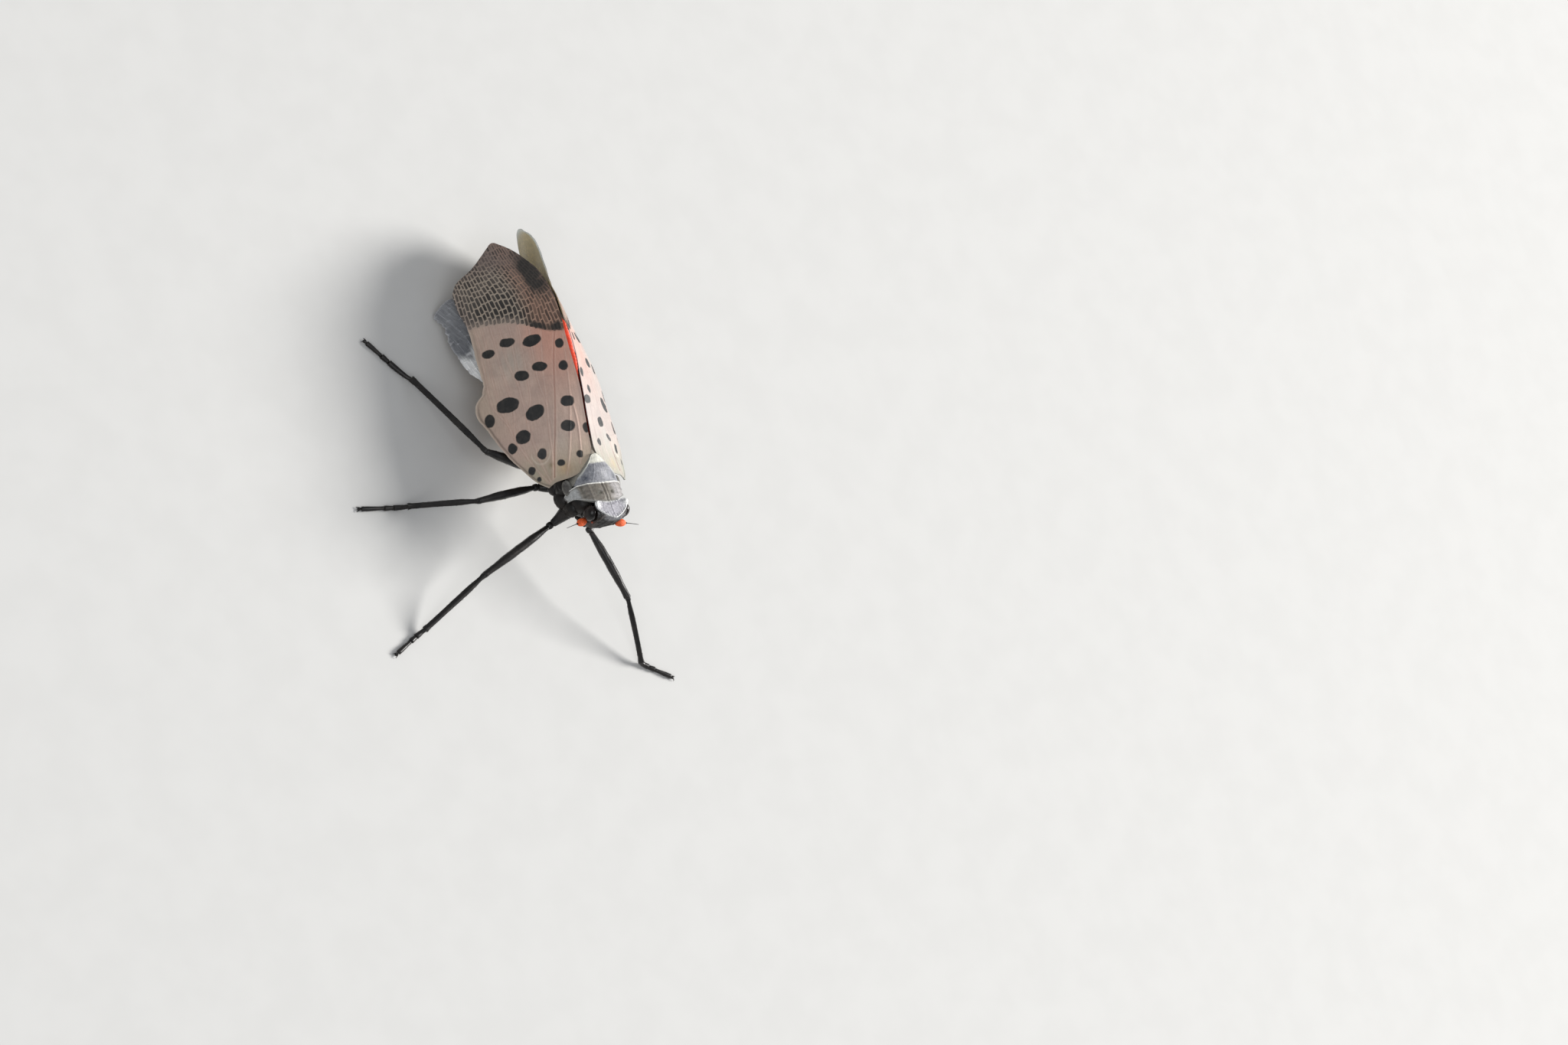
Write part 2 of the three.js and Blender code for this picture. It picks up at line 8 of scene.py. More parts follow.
import bpy
import numpy as np
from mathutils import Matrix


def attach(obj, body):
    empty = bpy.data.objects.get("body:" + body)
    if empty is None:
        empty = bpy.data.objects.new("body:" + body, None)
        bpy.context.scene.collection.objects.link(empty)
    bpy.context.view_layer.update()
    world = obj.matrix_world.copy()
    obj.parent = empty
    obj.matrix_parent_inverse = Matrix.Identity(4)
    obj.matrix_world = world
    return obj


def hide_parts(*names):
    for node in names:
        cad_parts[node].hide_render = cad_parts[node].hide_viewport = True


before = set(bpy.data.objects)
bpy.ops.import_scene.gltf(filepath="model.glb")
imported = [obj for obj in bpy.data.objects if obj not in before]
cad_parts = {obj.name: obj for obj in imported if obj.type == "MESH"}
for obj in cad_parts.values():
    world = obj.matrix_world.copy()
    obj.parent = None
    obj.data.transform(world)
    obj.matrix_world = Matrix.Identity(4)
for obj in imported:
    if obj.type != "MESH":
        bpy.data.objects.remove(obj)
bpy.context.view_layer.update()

MM = 0.001
ORIGIN = np.array([-3.964, 3.8314, 0.0])
STAND_HEIGHT, SCUTELLUM_Y, PITCH = 9.4, 2.4, math.radians(8)
WING_REF = 9.0
LEFT_TIP_SHIFT = 1.0
AXIS_Z = -3.2

# ------------------------------------------------------------------ small mathematics


def smooth(a, b, x):
    t = np.clip((np.asarray(x, float) - a) / (b - a), 0, 1)
    return t * t * (3 - 2 * t)


def mix(a, b, t):
    return a + (b - a) * t


def curve(knots):
    """A smooth curve without overshoot through (x, y) knots."""
    k = np.array(knots, float)
    xs, ys = k[:, 0], k[:, 1]
    h = np.diff(xs)
    d = np.diff(ys) / h
    m = np.zeros(len(xs))
    m[0], m[-1] = d[0], d[-1]
    for i in range(1, len(xs) - 1):
        if d[i - 1] * d[i] > 0:
            w1, w2 = 2 * h[i] + h[i - 1], h[i] + 2 * h[i - 1]
            m[i] = (w1 + w2) / (w1 / d[i - 1] + w2 / d[i])

    def f(x):
        x = np.clip(np.asarray(x, float), xs[0], xs[-1])
        i = np.clip(np.searchsorted(xs, x, side="right") - 1, 0, len(xs) - 2)
        t = (x - xs[i]) / h[i]
        return (
            (2 * t**3 - 3 * t**2 + 1) * ys[i]
            + (t**3 - 2 * t**2 + t) * h[i] * m[i]
            + (3 * t**2 - 2 * t**3) * ys[i + 1]
            + (t**3 - t**2) * h[i] * m[i + 1]
        )

    return f


def pair(knots):
    a = curve([(k[0], k[1]) for k in knots])
    b = curve([(k[0], k[2]) for k in knots])
    return lambda s: (a(s), b(s))


def value_noise(x, y, seed=0):
    """Smooth noise from -1 to 1 on a lattice of unit step."""
    x, y = np.asarray(x, float), np.asarray(y, float)
    xi, yi = np.floor(x).astype(np.int64), np.floor(y).astype(np.int64)
    u, v = x - xi, y - yi
    u, v = u * u * (3 - 2 * u), v * v * (3 - 2 * v)

    def h(i, j):
        n = (i * 374761393 + j * 668265263 + seed * 362437) & 0xFFFFFFFF
        n = ((n ^ (n >> 13)) * 1274126177) & 0xFFFFFFFF
        return ((n ^ (n >> 16)) & 0xFFFF) / 32767.5 - 1

    return mix(mix(h(xi, yi), h(xi + 1, yi), u), mix(h(xi, yi + 1), h(xi + 1, yi + 1), u), v)


def fbm(x, y, octaves=3, seed=0):
    out, a, total = 0.0, 1.0, 0.0
    for k in range(octaves):
        out = out + a * value_noise(x * 2**k, y * 2**k, seed + 17 * k)
        total += a
        a *= 0.5
    return out / total


def unit(v):
    v = np.asarray(v, float)
    return v / np.maximum(np.linalg.norm(v, axis=-1, keepdims=True), 1e-12)


def body_to_row(p):
    p = np.asarray(p, float)
    y0, z = p[..., 1] - SCUTELLUM_Y, p[..., 2]
    c, s = math.cos(PITCH), math.sin(PITCH)
    return np.stack([p[..., 0], y0 * c + z * s + SCUTELLUM_Y, -y0 * s + z * c + STAND_HEIGHT], -1) - ORIGIN


def floor_to_row(p):
    return np.asarray(p, float) - ORIGIN


def rgb(*c):
    return np.array(c, float)


# ------------------------------------------------------------------ making meshes


class Piece:
    """Collects vertices, faces, a flat layout and point attributes, and makes one mesh of them."""

    def __init__(self):
        self.verts, self.faces, self.n = [], [], 0
        self.attrs = {}
        self.charts = 0
        self.parts = []

    def add(self, verts, faces, uv, mat=0, **attrs):
        """verts (n, 3) in the row frame in mm, faces (f, k) and uv (f, k, 2) in mm on a chart of its own."""
        verts = np.asarray(verts, float).reshape(-1, 3)
        faces = np.asarray(faces, np.int64)
        self.parts.append((verts, faces + self.n, np.asarray(uv, float), mat, attrs))
        self.n += len(verts)

    def grid(self, P, uv=None, wrap=False, flip=False, mat=0, **attrs):
        a, b = P.shape[:2]
        idx = np.arange(a * b).reshape(a, b)
        if uv is None:
            du = np.linalg.norm(np.diff(P, axis=0), axis=-1).mean(1)
            u = np.concatenate([[0], np.cumsum(du)])
            Q = np.concatenate([P, P[:, :1]], 1) if wrap else P
            dv = np.linalg.norm(np.diff(Q, axis=1), axis=-1).max(0)
            v = np.concatenate([[0], np.cumsum(dv)])
            uv = np.stack(np.meshgrid(u, v, indexing="ij"), -1)
        if wrap:
            idx = np.concatenate([idx, idx[:, :1]], 1)
        order = [(0, 0), (1, 0), (1, 1), (0, 1)]
        if flip:
            order = order[::-1]
        m, k = idx.shape
        f = np.stack([idx[i : m - 1 + i, j : k - 1 + j] for i, j in order], -1).reshape(-1, 4)
        w = np.stack([uv[i : m - 1 + i, j : k - 1 + j] for i, j in order], -2).reshape(-1, 4, 2)
        flat = {n: np.asarray(x).reshape(a * b, -1) for n, x in attrs.items()}
        self.add(P.reshape(-1, 3), f, w, mat, **flat)

    def sheet(self, top, bottom, uv, mat=0, bottom_mat=None, top_attrs=None, bottom_attrs=None, flip=False, coarse=False):
        """A thin closed sheet from two grids of the same size. uv is each grid point's place on the sheet, in mm.
        A coarse one keeps every second row and column of its lower face; its numbers of rows and columns are odd."""
        a, b = top.shape[:2]
        if coarse:
            gap = 0.5 + float(uv[..., 1].max() - uv[..., 1].min())
            half = (slice(None, None, 2), slice(None, None, 2))
            self.grid(top, uv, flip=flip, mat=mat, **(top_attrs or {}))
            base = self.n - a * b
            low = {n: np.asarray(x)[half] for n, x in (bottom_attrs or top_attrs or {}).items()}
            self.grid(bottom[half], uv[half] + np.array([0, gap]), flip=not flip, mat=mat if bottom_mat is None else bottom_mat, **low)
            ring = lambda m: np.concatenate([m[0, :], m[1:, -1], m[-1, -2::-1], m[-2:0:-1, 0]])
            idx = np.arange(a * b).reshape(a, b)
            a2, b2 = (a + 1) // 2, (b + 1) // 2
            T, B = ring(idx), ring(np.arange(a2 * b2).reshape(a2, b2))
            qT, qB = uv.reshape(-1, 2)[T], uv[half].reshape(-1, 2)[B]
            out = unit(qB - qB.mean(0)) * 0.08
            T0, T1, T2 = T[0::2], T[1::2], np.roll(T[0::2], -1)
            B0, B1 = B + a * b, np.roll(B, -1) + a * b
            q0, q1, q2 = qT[0::2], qT[1::2], np.roll(qT[0::2], -1, 0)
            r0, r1 = qB + out, np.roll(qB + out, -1, 0)
            f = np.concatenate([np.stack(t, -1) for t in ((T0, T1, B0), (T1, T2, B1), (T1, B1, B0))])
            w = np.concatenate([np.stack(t, -2) for t in ((q0, q1, r0), (q1, q2, r1), (q1, r1, r0))])
            if flip:
                f, w = f[:, ::-1], w[:, ::-1]
            self.parts.append((np.zeros((0, 3)), f[:, ::-1] + base, w[:, ::-1], mat, {}))
            return
        gap = 0.5 + float(uv[..., 1].max() - uv[..., 1].min())
        self.grid(top, uv, flip=flip, mat=mat, **(top_attrs or {}))
        base = self.n - a * b
        mate = uv + np.array([0, gap])
        self.grid(bottom, mate, flip=not flip, mat=mat if bottom_mat is None else bottom_mat, **(bottom_attrs or top_attrs or {}))
        idx = np.arange(a * b).reshape(a, b)
        ring = np.concatenate([idx[0, :], idx[1:, -1], idx[-1, -2::-1], idx[-2:0:-1, 0]])
        q = uv.reshape(-1, 2)[ring]
        c = q.mean(0)
        out = unit(q - c) * 0.08
        nxt = np.roll(np.arange(len(ring)), -1)
        f = np.stack([ring, ring[nxt], ring[nxt] + a * b, ring + a * b], -1)
        w = np.stack([q, q[nxt], (q + out)[nxt], q + out], -2)
        if flip:
            f, w = f[:, ::-1], w[:, ::-1]
        self.parts.append((np.zeros((0, 3)), f[:, ::-1] + base, w[:, ::-1], mat, {}))

    def object(self, name, materials, replaces=(), sharp=50.0):
        verts = np.concatenate([p[0] for p in self.parts]) * MM
        me = bpy.data.meshes.new(name)
        sizes, loops, mats = [], [], []
        for _, f, _, mat, _ in self.parts:
            sizes.append(np.full(len(f), f.shape[1]))
            loops.append(f.reshape(-1))
            mats.append(np.full(len(f), mat))
        sizes, loops, mats = map(np.concatenate, (sizes, loops, mats))
        me.vertices.add(len(verts))
        me.vertices.foreach_set("co", verts.astype(np.float32).ravel())
        me.loops.add(len(loops))
        me.loops.foreach_set("vertex_index", loops.astype(np.int32))
        me.polygons.add(len(sizes))
        starts = np.concatenate([[0], np.cumsum(sizes)[:-1]])
        me.polygons.foreach_set("loop_start", starts.astype(np.int32))
        me.polygons.foreach_set("loop_total", sizes.astype(np.int32))
        me.polygons.foreach_set("material_index", mats.astype(np.int32))
        # the charts side by side on shelves, all to one scale
        boxes = []
        for _, f, uv, _, _ in self.parts:
            q = uv.reshape(-1, 2)
            boxes.append((q.min(0), q.max(0) - q.min(0)))
        area = sum(float((s[0] + 0.1) * (s[1] + 0.1)) for _, s in boxes)
        width = max(max(s[0] for _, s in boxes) + 0.2, math.sqrt(area) * 1.1)
        order = sorted(range(len(boxes)), key=lambda i: -boxes[i][1][1])
        x = y = shelf = 0.0
        place = {}
        for i in order:
            w, h = boxes[i][1]
            if x + w > width:
                x, y, shelf = 0.0, y + shelf + 0.1, 0.0
            place[i] = (x, y)
            x += w + 0.1
            shelf = max(shelf, h)
        size = max(width, y + shelf) * 1.02
        layout = [
            ((uv.reshape(-1, 2) - boxes[i][0] + np.array(place[i]) + 0.05) / size)
            for i, (_, f, uv, _, _) in enumerate(self.parts)
        ]
        me.update(calc_edges=True)
        layer = me.uv_layers.new(name="OFBake")
        layer.uv.foreach_set("vector", np.concatenate(layout).astype(np.float32).ravel())
        names = {}
        for _, _, _, _, at in self.parts:
            for n, x in at.items():
                names[n] = x.shape[1]
        for n, k in names.items():
            kind = {1: "FLOAT", 3: "FLOAT_VECTOR", 4: "FLOAT_COLOR"}[k]
            block = []
            for v, _, _, _, at in self.parts:
                if len(v):
                    block.append(at[n] if n in at else np.zeros((len(v), k)))
            data = np.concatenate(block).astype(np.float32)
            attribute = me.attributes.new(n, kind, "POINT")
            attribute.data.foreach_set({1: "value", 3: "vector", 4: "color"}[k], data.ravel())
        me.polygons.foreach_set("use_smooth", np.ones(len(sizes), bool))
        me.update()
        me.validate()
        if sharp:
            me.set_sharp_from_angle(angle=math.radians(sharp))
        ob = bpy.data.objects.new(name, me)
        bpy.context.scene.collection.objects.link(ob)
        for m in materials:
            me.materials.append(m)
        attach(ob, "root")
        if replaces:
            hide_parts(*replaces)
        return ob


def colour4(c):
    c = np.asarray(c, float)
    return np.concatenate([c, np.ones(c.shape[:-1] + (1,))], -1)


def tube(piece, path, rx, rz=None, sides=16, up=(0, 0, 1), section=None, mat=0, to_row=floor_to_row, relief=None, **attrs):
    """A closed tube along path, with radii rx across and rz along up at each point; section(theta, s) scales them."""
    path = np.asarray(path, float)
    rx = np.asarray(rx, float)
    rz = rx if rz is None else np.asarray(rz, float)
    T = unit(np.gradient(path, axis=0))
    up = np.broadcast_to(np.asarray(up, float), path.shape)
    side = unit(np.cross(T, up))
    top = np.cross(side, T)
    seg = np.linalg.norm(np.diff(path, axis=0), axis=-1)
    s = np.concatenate([[0], np.cumsum(seg)])
    s = s / s[-1]
    th = np.arange(sides) * 2 * np.pi / sides
    S, TH = np.meshgrid(s, th, indexing="ij")
    k = np.ones_like(S) if section is None else section(TH, S)
    P = path[:, None] + (rx[:, None] * k * np.cos(TH))[..., None] * side[:, None] + (rz[:, None] * k * np.sin(TH))[..., None] * top[:, None]
    extra = {n: (x(TH, S, P) if callable(x) else np.broadcast_to(x, S.shape + np.shape(x))) for n, x in attrs.items()}
    Q = to_row(P)
    piece.grid(Q, wrap=True, mat=mat, **extra)
    base = piece.n - Q.shape[0] * sides
    for i, turn in ((0, 1), (Q.shape[0] - 1, -1)):
        ring = base + i * sides + np.arange(sides)
        nxt = np.roll(ring, -1)
        c = Q[i].mean(0)
        cap_attrs = {n: x[i].reshape(sides, -1).mean(0)[None] for n, x in extra.items()}
        n0 = piece.n
        r = max(float(np.linalg.norm(Q[i] - c, axis=-1).max()), 1e-3)
        a = np.arange(sides) * 2 * np.pi / sides
        rim = np.stack([np.cos(a), np.sin(a)], -1) * r
        f = np.stack([np.full(sides, n0), ring, nxt] if turn > 0 else [np.full(sides, n0), nxt, ring], -1)
        w = np.stack([np.zeros_like(rim), rim, np.roll(rim, -1, 0)] if turn > 0 else [np.zeros_like(rim), np.roll(rim, -1, 0), rim], -2)
        piece.parts.append((c[None], f, w, mat, cap_attrs))
        piece.n += 1
    return P, T, side, top


def rounded(s_mm, length, e0, e1):
    """1 along a limb, falling to nothing over the round ends of length e0 and e1."""
    a = np.minimum(s_mm, e0)
    b = np.minimum(length - s_mm, e1)
    k = np.sqrt(np.clip(1 - ((e0 - a) / e0) ** 2, 0, 1)) * np.sqrt(np.clip(1 - ((e1 - b) / e1) ** 2, 0, 1))
    return np.maximum(k, 0.004)


def stations(length, e0, e1, n):
    """Places along a limb, closer together in the round ends."""
    q = np.array([0, 0.02, 0.08, 0.18, 0.32, 0.5, 0.72])
    return np.unique(np.concatenate([q * e0, np.linspace(e0, length - e1, n), length - q * e1]))


def cones(piece, base, direction, length, radius, sides=5, mat=0, bend=0.0, bend_to=(0, 0, -1), **attrs):
    """Many thin spines or hairs, each a closed cone in three steps that may bend."""
    base, direction = np.asarray(base, float), unit(direction)
    n = len(base)
    length, radius = np.broadcast_to(length, n).astype(float), np.broadcast_to(radius, n).astype(float)
    # none may reach under the floor
    clear = np.minimum(base[:, 2], base[:, 2] + direction[:, 2] * length - length * bend) - radius > 0.004
    base, direction, length, radius = base[clear], direction[clear], length[clear], radius[clear]
    n = len(base)
    if not n:
        return
    ref = np.where(np.abs(direction[:, 2:3]) < 0.9, np.array([[0, 0, 1.0]]), np.array([[1.0, 0, 0]]))
    a = unit(np.cross(direction, ref))
    b = np.cross(direction, a)
    bt = unit(np.broadcast_to(bend_to, base.shape))
    th = np.arange(sides) * 2 * np.pi / sides
    rows = []
    levels = ((0.0, 1.0), (0.35, 0.85), (0.75, 0.45))
    for s, r in levels:
        c = base + direction * (length * s)[:, None] + bt * (length * bend * s * s)[:, None]
        rows.append(c[:, None] + (radius * r)[:, None, None] * (np.cos(th)[None, :, None] * a[:, None] + np.sin(th)[None, :, None] * b[:, None]))
    tip = base + direction * length[:, None] + bt * (length * bend)[:, None]
    V = np.concatenate([*rows, tip[:, None], base[:, None]], 1)
    m = V.shape[1]
    quads, tris = [], []
    for i in range(len(levels) - 1):
        for j in range(sides):
            k = (j + 1) % sides
            quads.append((i * sides + j, i * sides + k, (i + 1) * sides + k, (i + 1) * sides + j))
    last = (len(levels) - 1) * sides
    for j in range(sides):
        k = (j + 1) % sides
        tris.append((last + j, last + k, m - 2))
        tris.append((k, j, m - 1))
    off = (np.arange(n) * m)[:, None, None]
    Q = (np.array(quads)[None] + off).reshape(-1, 4)
    Tm = (np.array(tris)[None] + off).reshape(-1, 3)
    cols = int(math.ceil(math.sqrt(n)))
    cell = np.stack([np.arange(n) % cols, np.arange(n) // cols], -1) * 0.02
    flat = {k: np.broadcast_to(x, (n * m, np.size(x))) for k, x in attrs.items()}
    uvq = np.repeat(cell, len(quads), 0)[:, None] + np.array([[0, 0], [0.01, 0], [0.01, 0.01], [0, 0.01]])[None]
    uvt = np.repeat(cell, len(tris), 0)[:, None] + np.array([[0, 0], [0.01, 0], [0.01, 0.01]])[None]
    n0 = piece.n
    piece.parts.append((V.reshape(-1, 3), Q + n0, uvq, mat, flat))
    piece.parts.append((np.zeros((0, 3)), Tm + n0, uvt, mat, {}))
    piece.n += n * m


# ------------------------------------------------------------------ materials


class Nodes:
    """Short names for the nodes that the materials are made of."""

    def __init__(self, name):
        self.mat = bpy.data.materials.new(name)
        self.mat.use_nodes = True
        self.t = self.mat.node_tree
        self.t.nodes.clear()
        self.out = self.new("ShaderNodeOutputMaterial")
        self.bsdf = self.new("ShaderNodeBsdfPrincipled")
        self.t.links.new(self.bsdf.outputs[0], self.out.inputs[0])

    def new(self, kind, **props):
        n = self.t.nodes.new(kind)
        for k, v in props.items():
            setattr(n, k, v)
        return n

    def put(self, socket, value):
        if isinstance(value, bpy.types.NodeSocket):
            self.t.links.new(value, socket)
        elif isinstance(value, (tuple, list, np.ndarray)):
            v = [float(x) for x in value]
            if socket.type == "RGBA" and len(v) == 3:
                v.append(1.0)
            socket.default_value = v
        else:
            socket.default_value = value

    def place(self):
        return self.new("ShaderNodeTexCoord").outputs["Object"]

    def attr(self, name, out="Fac"):
        return self.new("ShaderNodeAttribute", attribute_name=name).outputs[out]

    def math(self, op, a, b=0.0, c=None):
        n = self.new("ShaderNodeMath", operation=op)
        self.put(n.inputs[0], a)
        self.put(n.inputs[1], b)
        if c is not None:
            self.put(n.inputs[2], c)
        return n.outputs[0]

    def step(self, x, lo, hi, to_lo=0.0, to_hi=1.0, kind="SMOOTHSTEP"):
        n = self.new("ShaderNodeMapRange", interpolation_type=kind)
        for i, v in enumerate((x, lo, hi, to_lo, to_hi)):
            self.put(n.inputs[i], v)
        return n.outputs[0]

    def mix(self, f, a, b, kind="MIX"):
        n = self.new("ShaderNodeMix", data_type="RGBA", blend_type=kind)
        self.put(n.inputs["Factor"], f)
        self.put(n.inputs[6], a)
        self.put(n.inputs[7], b)
        return n.outputs[2]

    def noise(self, scale, detail=3.0, rough=0.55, where=None, distortion=0.0):
        n = self.new("ShaderNodeTexNoise")
        self.put(n.inputs["Vector"], self.place() if where is None else where)
        self.put(n.inputs["Scale"], scale)
        self.put(n.inputs["Detail"], detail)
        self.put(n.inputs["Roughness"], rough)
        self.put(n.inputs["Distortion"], distortion)
        return n.outputs["Fac"]

    def cells(self, scale, feature="F1", out="Distance", where=None):
        n = self.new("ShaderNodeTexVoronoi", feature=feature)
        self.put(n.inputs["Vector"], self.place() if where is None else where)
        self.put(n.inputs["Scale"], scale)
        return n.outputs[out]

    def scaled(self, vector, by):
        n = self.new("ShaderNodeVectorMath", operation="MULTIPLY")
        self.put(n.inputs[0], vector)
        self.put(n.inputs[1], by)
        return n.outputs[0]

    def bump(self, height, distance, strength=1.0, normal=None):
        n = self.new("ShaderNodeBump")
        self.put(n.inputs["Strength"], strength)
        self.put(n.inputs["Distance"], distance)
        self.put(n.inputs["Height"], height)
        if normal is not None:
            self.put(n.inputs["Normal"], normal)
        return n.outputs[0]

    def finish(self, colour, roughness, normal=None, **constants):
        self.put(self.bsdf.inputs["Base Color"], colour)
        self.put(self.bsdf.inputs["Roughness"], roughness)
        if normal is not None:
            self.put(self.bsdf.inputs["Normal"], normal)
        for k, v in constants.items():
            self.bsdf.inputs[k.replace("_", " ")].default_value = v
        return self.mat


def tinted(name, grain=4000, amount=0.12, fine=14000, rough=(0.5, 0.66), bump=0.012, bloom=0.0, bloom_colour=(0.62, 0.62, 0.6), specular=0.4, **constants):
    """A cuticle whose colour is painted on its points, with grain, mottling and, where asked, a powdery bloom."""
    n = Nodes(name)
    base = n.attr("tint", "Color")
    broad, small = n.noise(grain * 0.25, 4.0), n.noise(grain, 5.0)
    c = n.mix(1.0, base, n.mix(broad, (1 - amount,) * 3, (1 + amount,) * 3), "MULTIPLY")
    c = n.mix(1.0, c, n.mix(n.step(small, 0.3, 0.7), (1 - amount,) * 3, (1 + amount * 0.8,) * 3), "MULTIPLY")
    if bloom:
        powder = n.math("MULTIPLY", n.step(n.noise(fine * 0.35, 6.0, 0.7), 0.42, 0.75), bloom)
        c = n.mix(n.math("MULTIPLY", powder, n.attr("wax")), c, bloom_colour)
    pits = n.cells(fine, out="Distance")
    h = n.math("ADD", n.math("MULTIPLY", small, 1.0), n.math("MULTIPLY", pits, 0.35))
    return n.finish(c, n.step(small, 0.25, 0.75, *rough), n.bump(h, bump * MM), Specular_IOR_Level=specular, **constants)


def forewing_material(name, painted_light_gain=None):
    """Leathery wing: painted ground, crisp spots from a distance field, and a net of veins with dark cells."""
    n = Nodes(name)
    place = n.place()
    along = n.attr("lay", "Vector")
    ground = n.attr("tint", "Color")
    mottle = n.noise(700, 4.0, 0.6)
    grain = n.noise(5200, 5.0, 0.65)
    streak = n.noise(1.0, 4.0, 0.6, where=n.scaled(along, (9.0, 0.9, 0.0)))
    c = n.mix(1.0, ground, n.mix(n.step(mottle, 0.3, 0.7), (0.93, 0.93, 0.94), (1.06, 1.05, 1.04)), "MULTIPLY")
    c = n.mix(1.0, c, n.mix(n.step(streak, 0.3, 0.72), (0.93, 0.915, 0.91), (1.05, 1.05, 1.05)), "MULTIPLY")
    c = n.mix(1.0, c, n.mix(n.step(grain, 0.3, 0.7), (0.96, 0.955, 0.95), (1.04, 1.04, 1.04)), "MULTIPLY")
    # the net: pale veins round dark cells
    vein_gap = n.math("ADD", n.attr("cell"), n.math("MULTIPLY", n.math("SUBTRACT", n.noise(3200, 2.0), 0.5), 0.045))
    in_cell = n.math("MULTIPLY", n.step(vein_gap, 0.032, 0.068), n.attr("net"))
    cell = n.mix(1.0, n.attr("cellcol", "Color"), n.mix(n.step(grain, 0.25, 0.75), (0.8, 0.8, 0.8), (1.2, 1.2, 1.2)), "MULTIPLY")
    c = n.mix(in_cell, c, cell)
    # the spots
    edge = n.math("ADD", n.attr("spot"), n.math("MULTIPLY", n.math("SUBTRACT", n.noise(2600, 3.0), 0.5), 0.13))
    dark = n.step(edge, -0.05, 0.06)
    ring = n.math("MULTIPLY", n.step(edge, -0.22, -0.04), 0.16)
    c = n.mix(ring, c, n.mix(1.0, c, (1.25, 1.22, 1.18), "MULTIPLY"))
    ink = n.mix(n.step(n.noise(2100, 4.0), 0.35, 0.7), (0.008, 0.0083, 0.0078), (0.024, 0.021, 0.0185))
    c = n.mix(dark, c, ink)
    # painted light: the whole wing's colour is multiplied lighter and bluer, standing in for strong light falling on
    # this wing
    if painted_light_gain:
        c = n.mix(1.0, c, painted_light_gain, "MULTIPLY")
    crackle = n.cells(7000, feature="DISTANCE_TO_EDGE")
    h = n.math("ADD", n.math("MULTIPLY", grain, 0.8), n.math("MULTIPLY", n.step(crackle, 0.0, 0.12), 0.3))
    h = n.math("ADD", h, n.math("MULTIPLY", streak, 0.6))
    normal = n.bump(h, 0.011 * MM)
    r = n.step(grain, 0.25, 0.75, 0.46, 0.62)
    r = n.math("SUBTRACT", r, n.math("MULTIPLY", dark, 0.04))
    return n.finish(c, r, normal, Specular_IOR_Level=0.42, Sheen_Weight=0.06, Sheen_Roughness=0.5)


def hindwing_material():
    n = Nodes("hindwing_membrane")
    along = n.attr("lay", "Vector")
    base = n.attr("tint", "Color")
    streak = n.noise(1.0, 5.0, 0.65, where=n.scaled(along, (14.0, 1.4, 0.0)))
    grain = n.noise(5200, 4.0, 0.6)
    c = n.mix(1.0, base, n.mix(n.step(streak, 0.28, 0.75), (0.72, 0.72, 0.74), (1.3, 1.3, 1.28)), "MULTIPLY")
    c = n.mix(1.0, c, n.mix(grain, (0.85, 0.85, 0.85), (1.15, 1.15, 1.15)), "MULTIPLY")
    vein = n.step(n.attr("vein"), 0.35, 0.9)
    c = n.mix(n.math("MULTIPLY", vein, 0.55), c, n.attr("veincol", "Color"))
    h = n.math("ADD", streak, n.math("MULTIPLY", grain, 0.4))
    return n.finish(c, n.step(grain, 0.2, 0.8, 0.42, 0.6), n.bump(h, 0.02 * MM), Specular_IOR_Level=0.4)


def cuticle_material(name, low=(0.0045, 0.004, 0.004), high=(0.016, 0.0125, 0.0105), rough=(0.36, 0.56), bump=0.008, coat=0.0):
    n = Nodes(name)
    broad, small = n.noise(900, 4.0), n.noise(6500, 5.0, 0.6)
    c = n.mix(n.step(broad, 0.3, 0.75), low, high)
    c = n.mix(1.0, c, n.mix(n.step(small, 0.3, 0.7), (0.8, 0.8, 0.8), (1.25, 1.22, 1.2)), "MULTIPLY")
    dust = n.math("MULTIPLY", n.step(n.noise(2200, 6.0, 0.7), 0.6, 0.85), 0.12)
    c = n.mix(dust, c, (0.075, 0.07, 0.066))
    scales = n.cells(16000)
    h = n.math("ADD", small, n.math("MULTIPLY", scales, 0.5))
    return n.finish(c, n.step(small, 0.25, 0.75, *rough), n.bump(h, bump * MM), Specular_IOR_Level=0.27, Coat_Weight=coat, Coat_Roughness=0.25)


def eye_material():
    n = Nodes("compound_eye")
    bands = n.noise(1300, 3.0, 0.6)
    c = n.mix(n.step(bands, 0.3, 0.7), (0.004, 0.003, 0.0027), (0.016, 0.0085, 0.0065))
    facets = n.cells(26000, out="Distance")
    c = n.mix(1.0, c, n.mix(n.step(facets, 0.2, 0.6), (1.15, 1.12, 1.1), (0.8, 0.8, 0.8)), "MULTIPLY")
    return n.finish(c, n.step(bands, 0.3, 0.7, 0.16, 0.26), n.bump(n.math("SUBTRACT", 1.0, facets), 0.004 * MM), Specular_IOR_Level=0.28, Coat_Weight=0.1, Coat_Roughness=0.12)


def antenna_material():
    n = Nodes("antenna_bulb")
    base = n.attr("tint", "Color")
    grain = n.noise(7000, 4.0)
    c = n.mix(1.0, base, n.mix(n.step(grain, 0.3, 0.7), (0.78, 0.74, 0.7), (1.18, 1.16, 1.1)), "MULTIPLY")
    return n.finish(c, n.step(grain, 0.3, 0.7, 0.4, 0.55), n.bump(grain, 0.008 * MM), Specular_IOR_Level=0.45)


def floor_material():
    n = Nodes("pale_floor")
    c = n.mix(n.step(n.noise(260, 2.0), 0.3, 0.7), (0.522, 0.518, 0.506), (0.536, 0.532, 0.52))
    return n.finish(c, 0.8, Specular_IOR_Level=0.2)


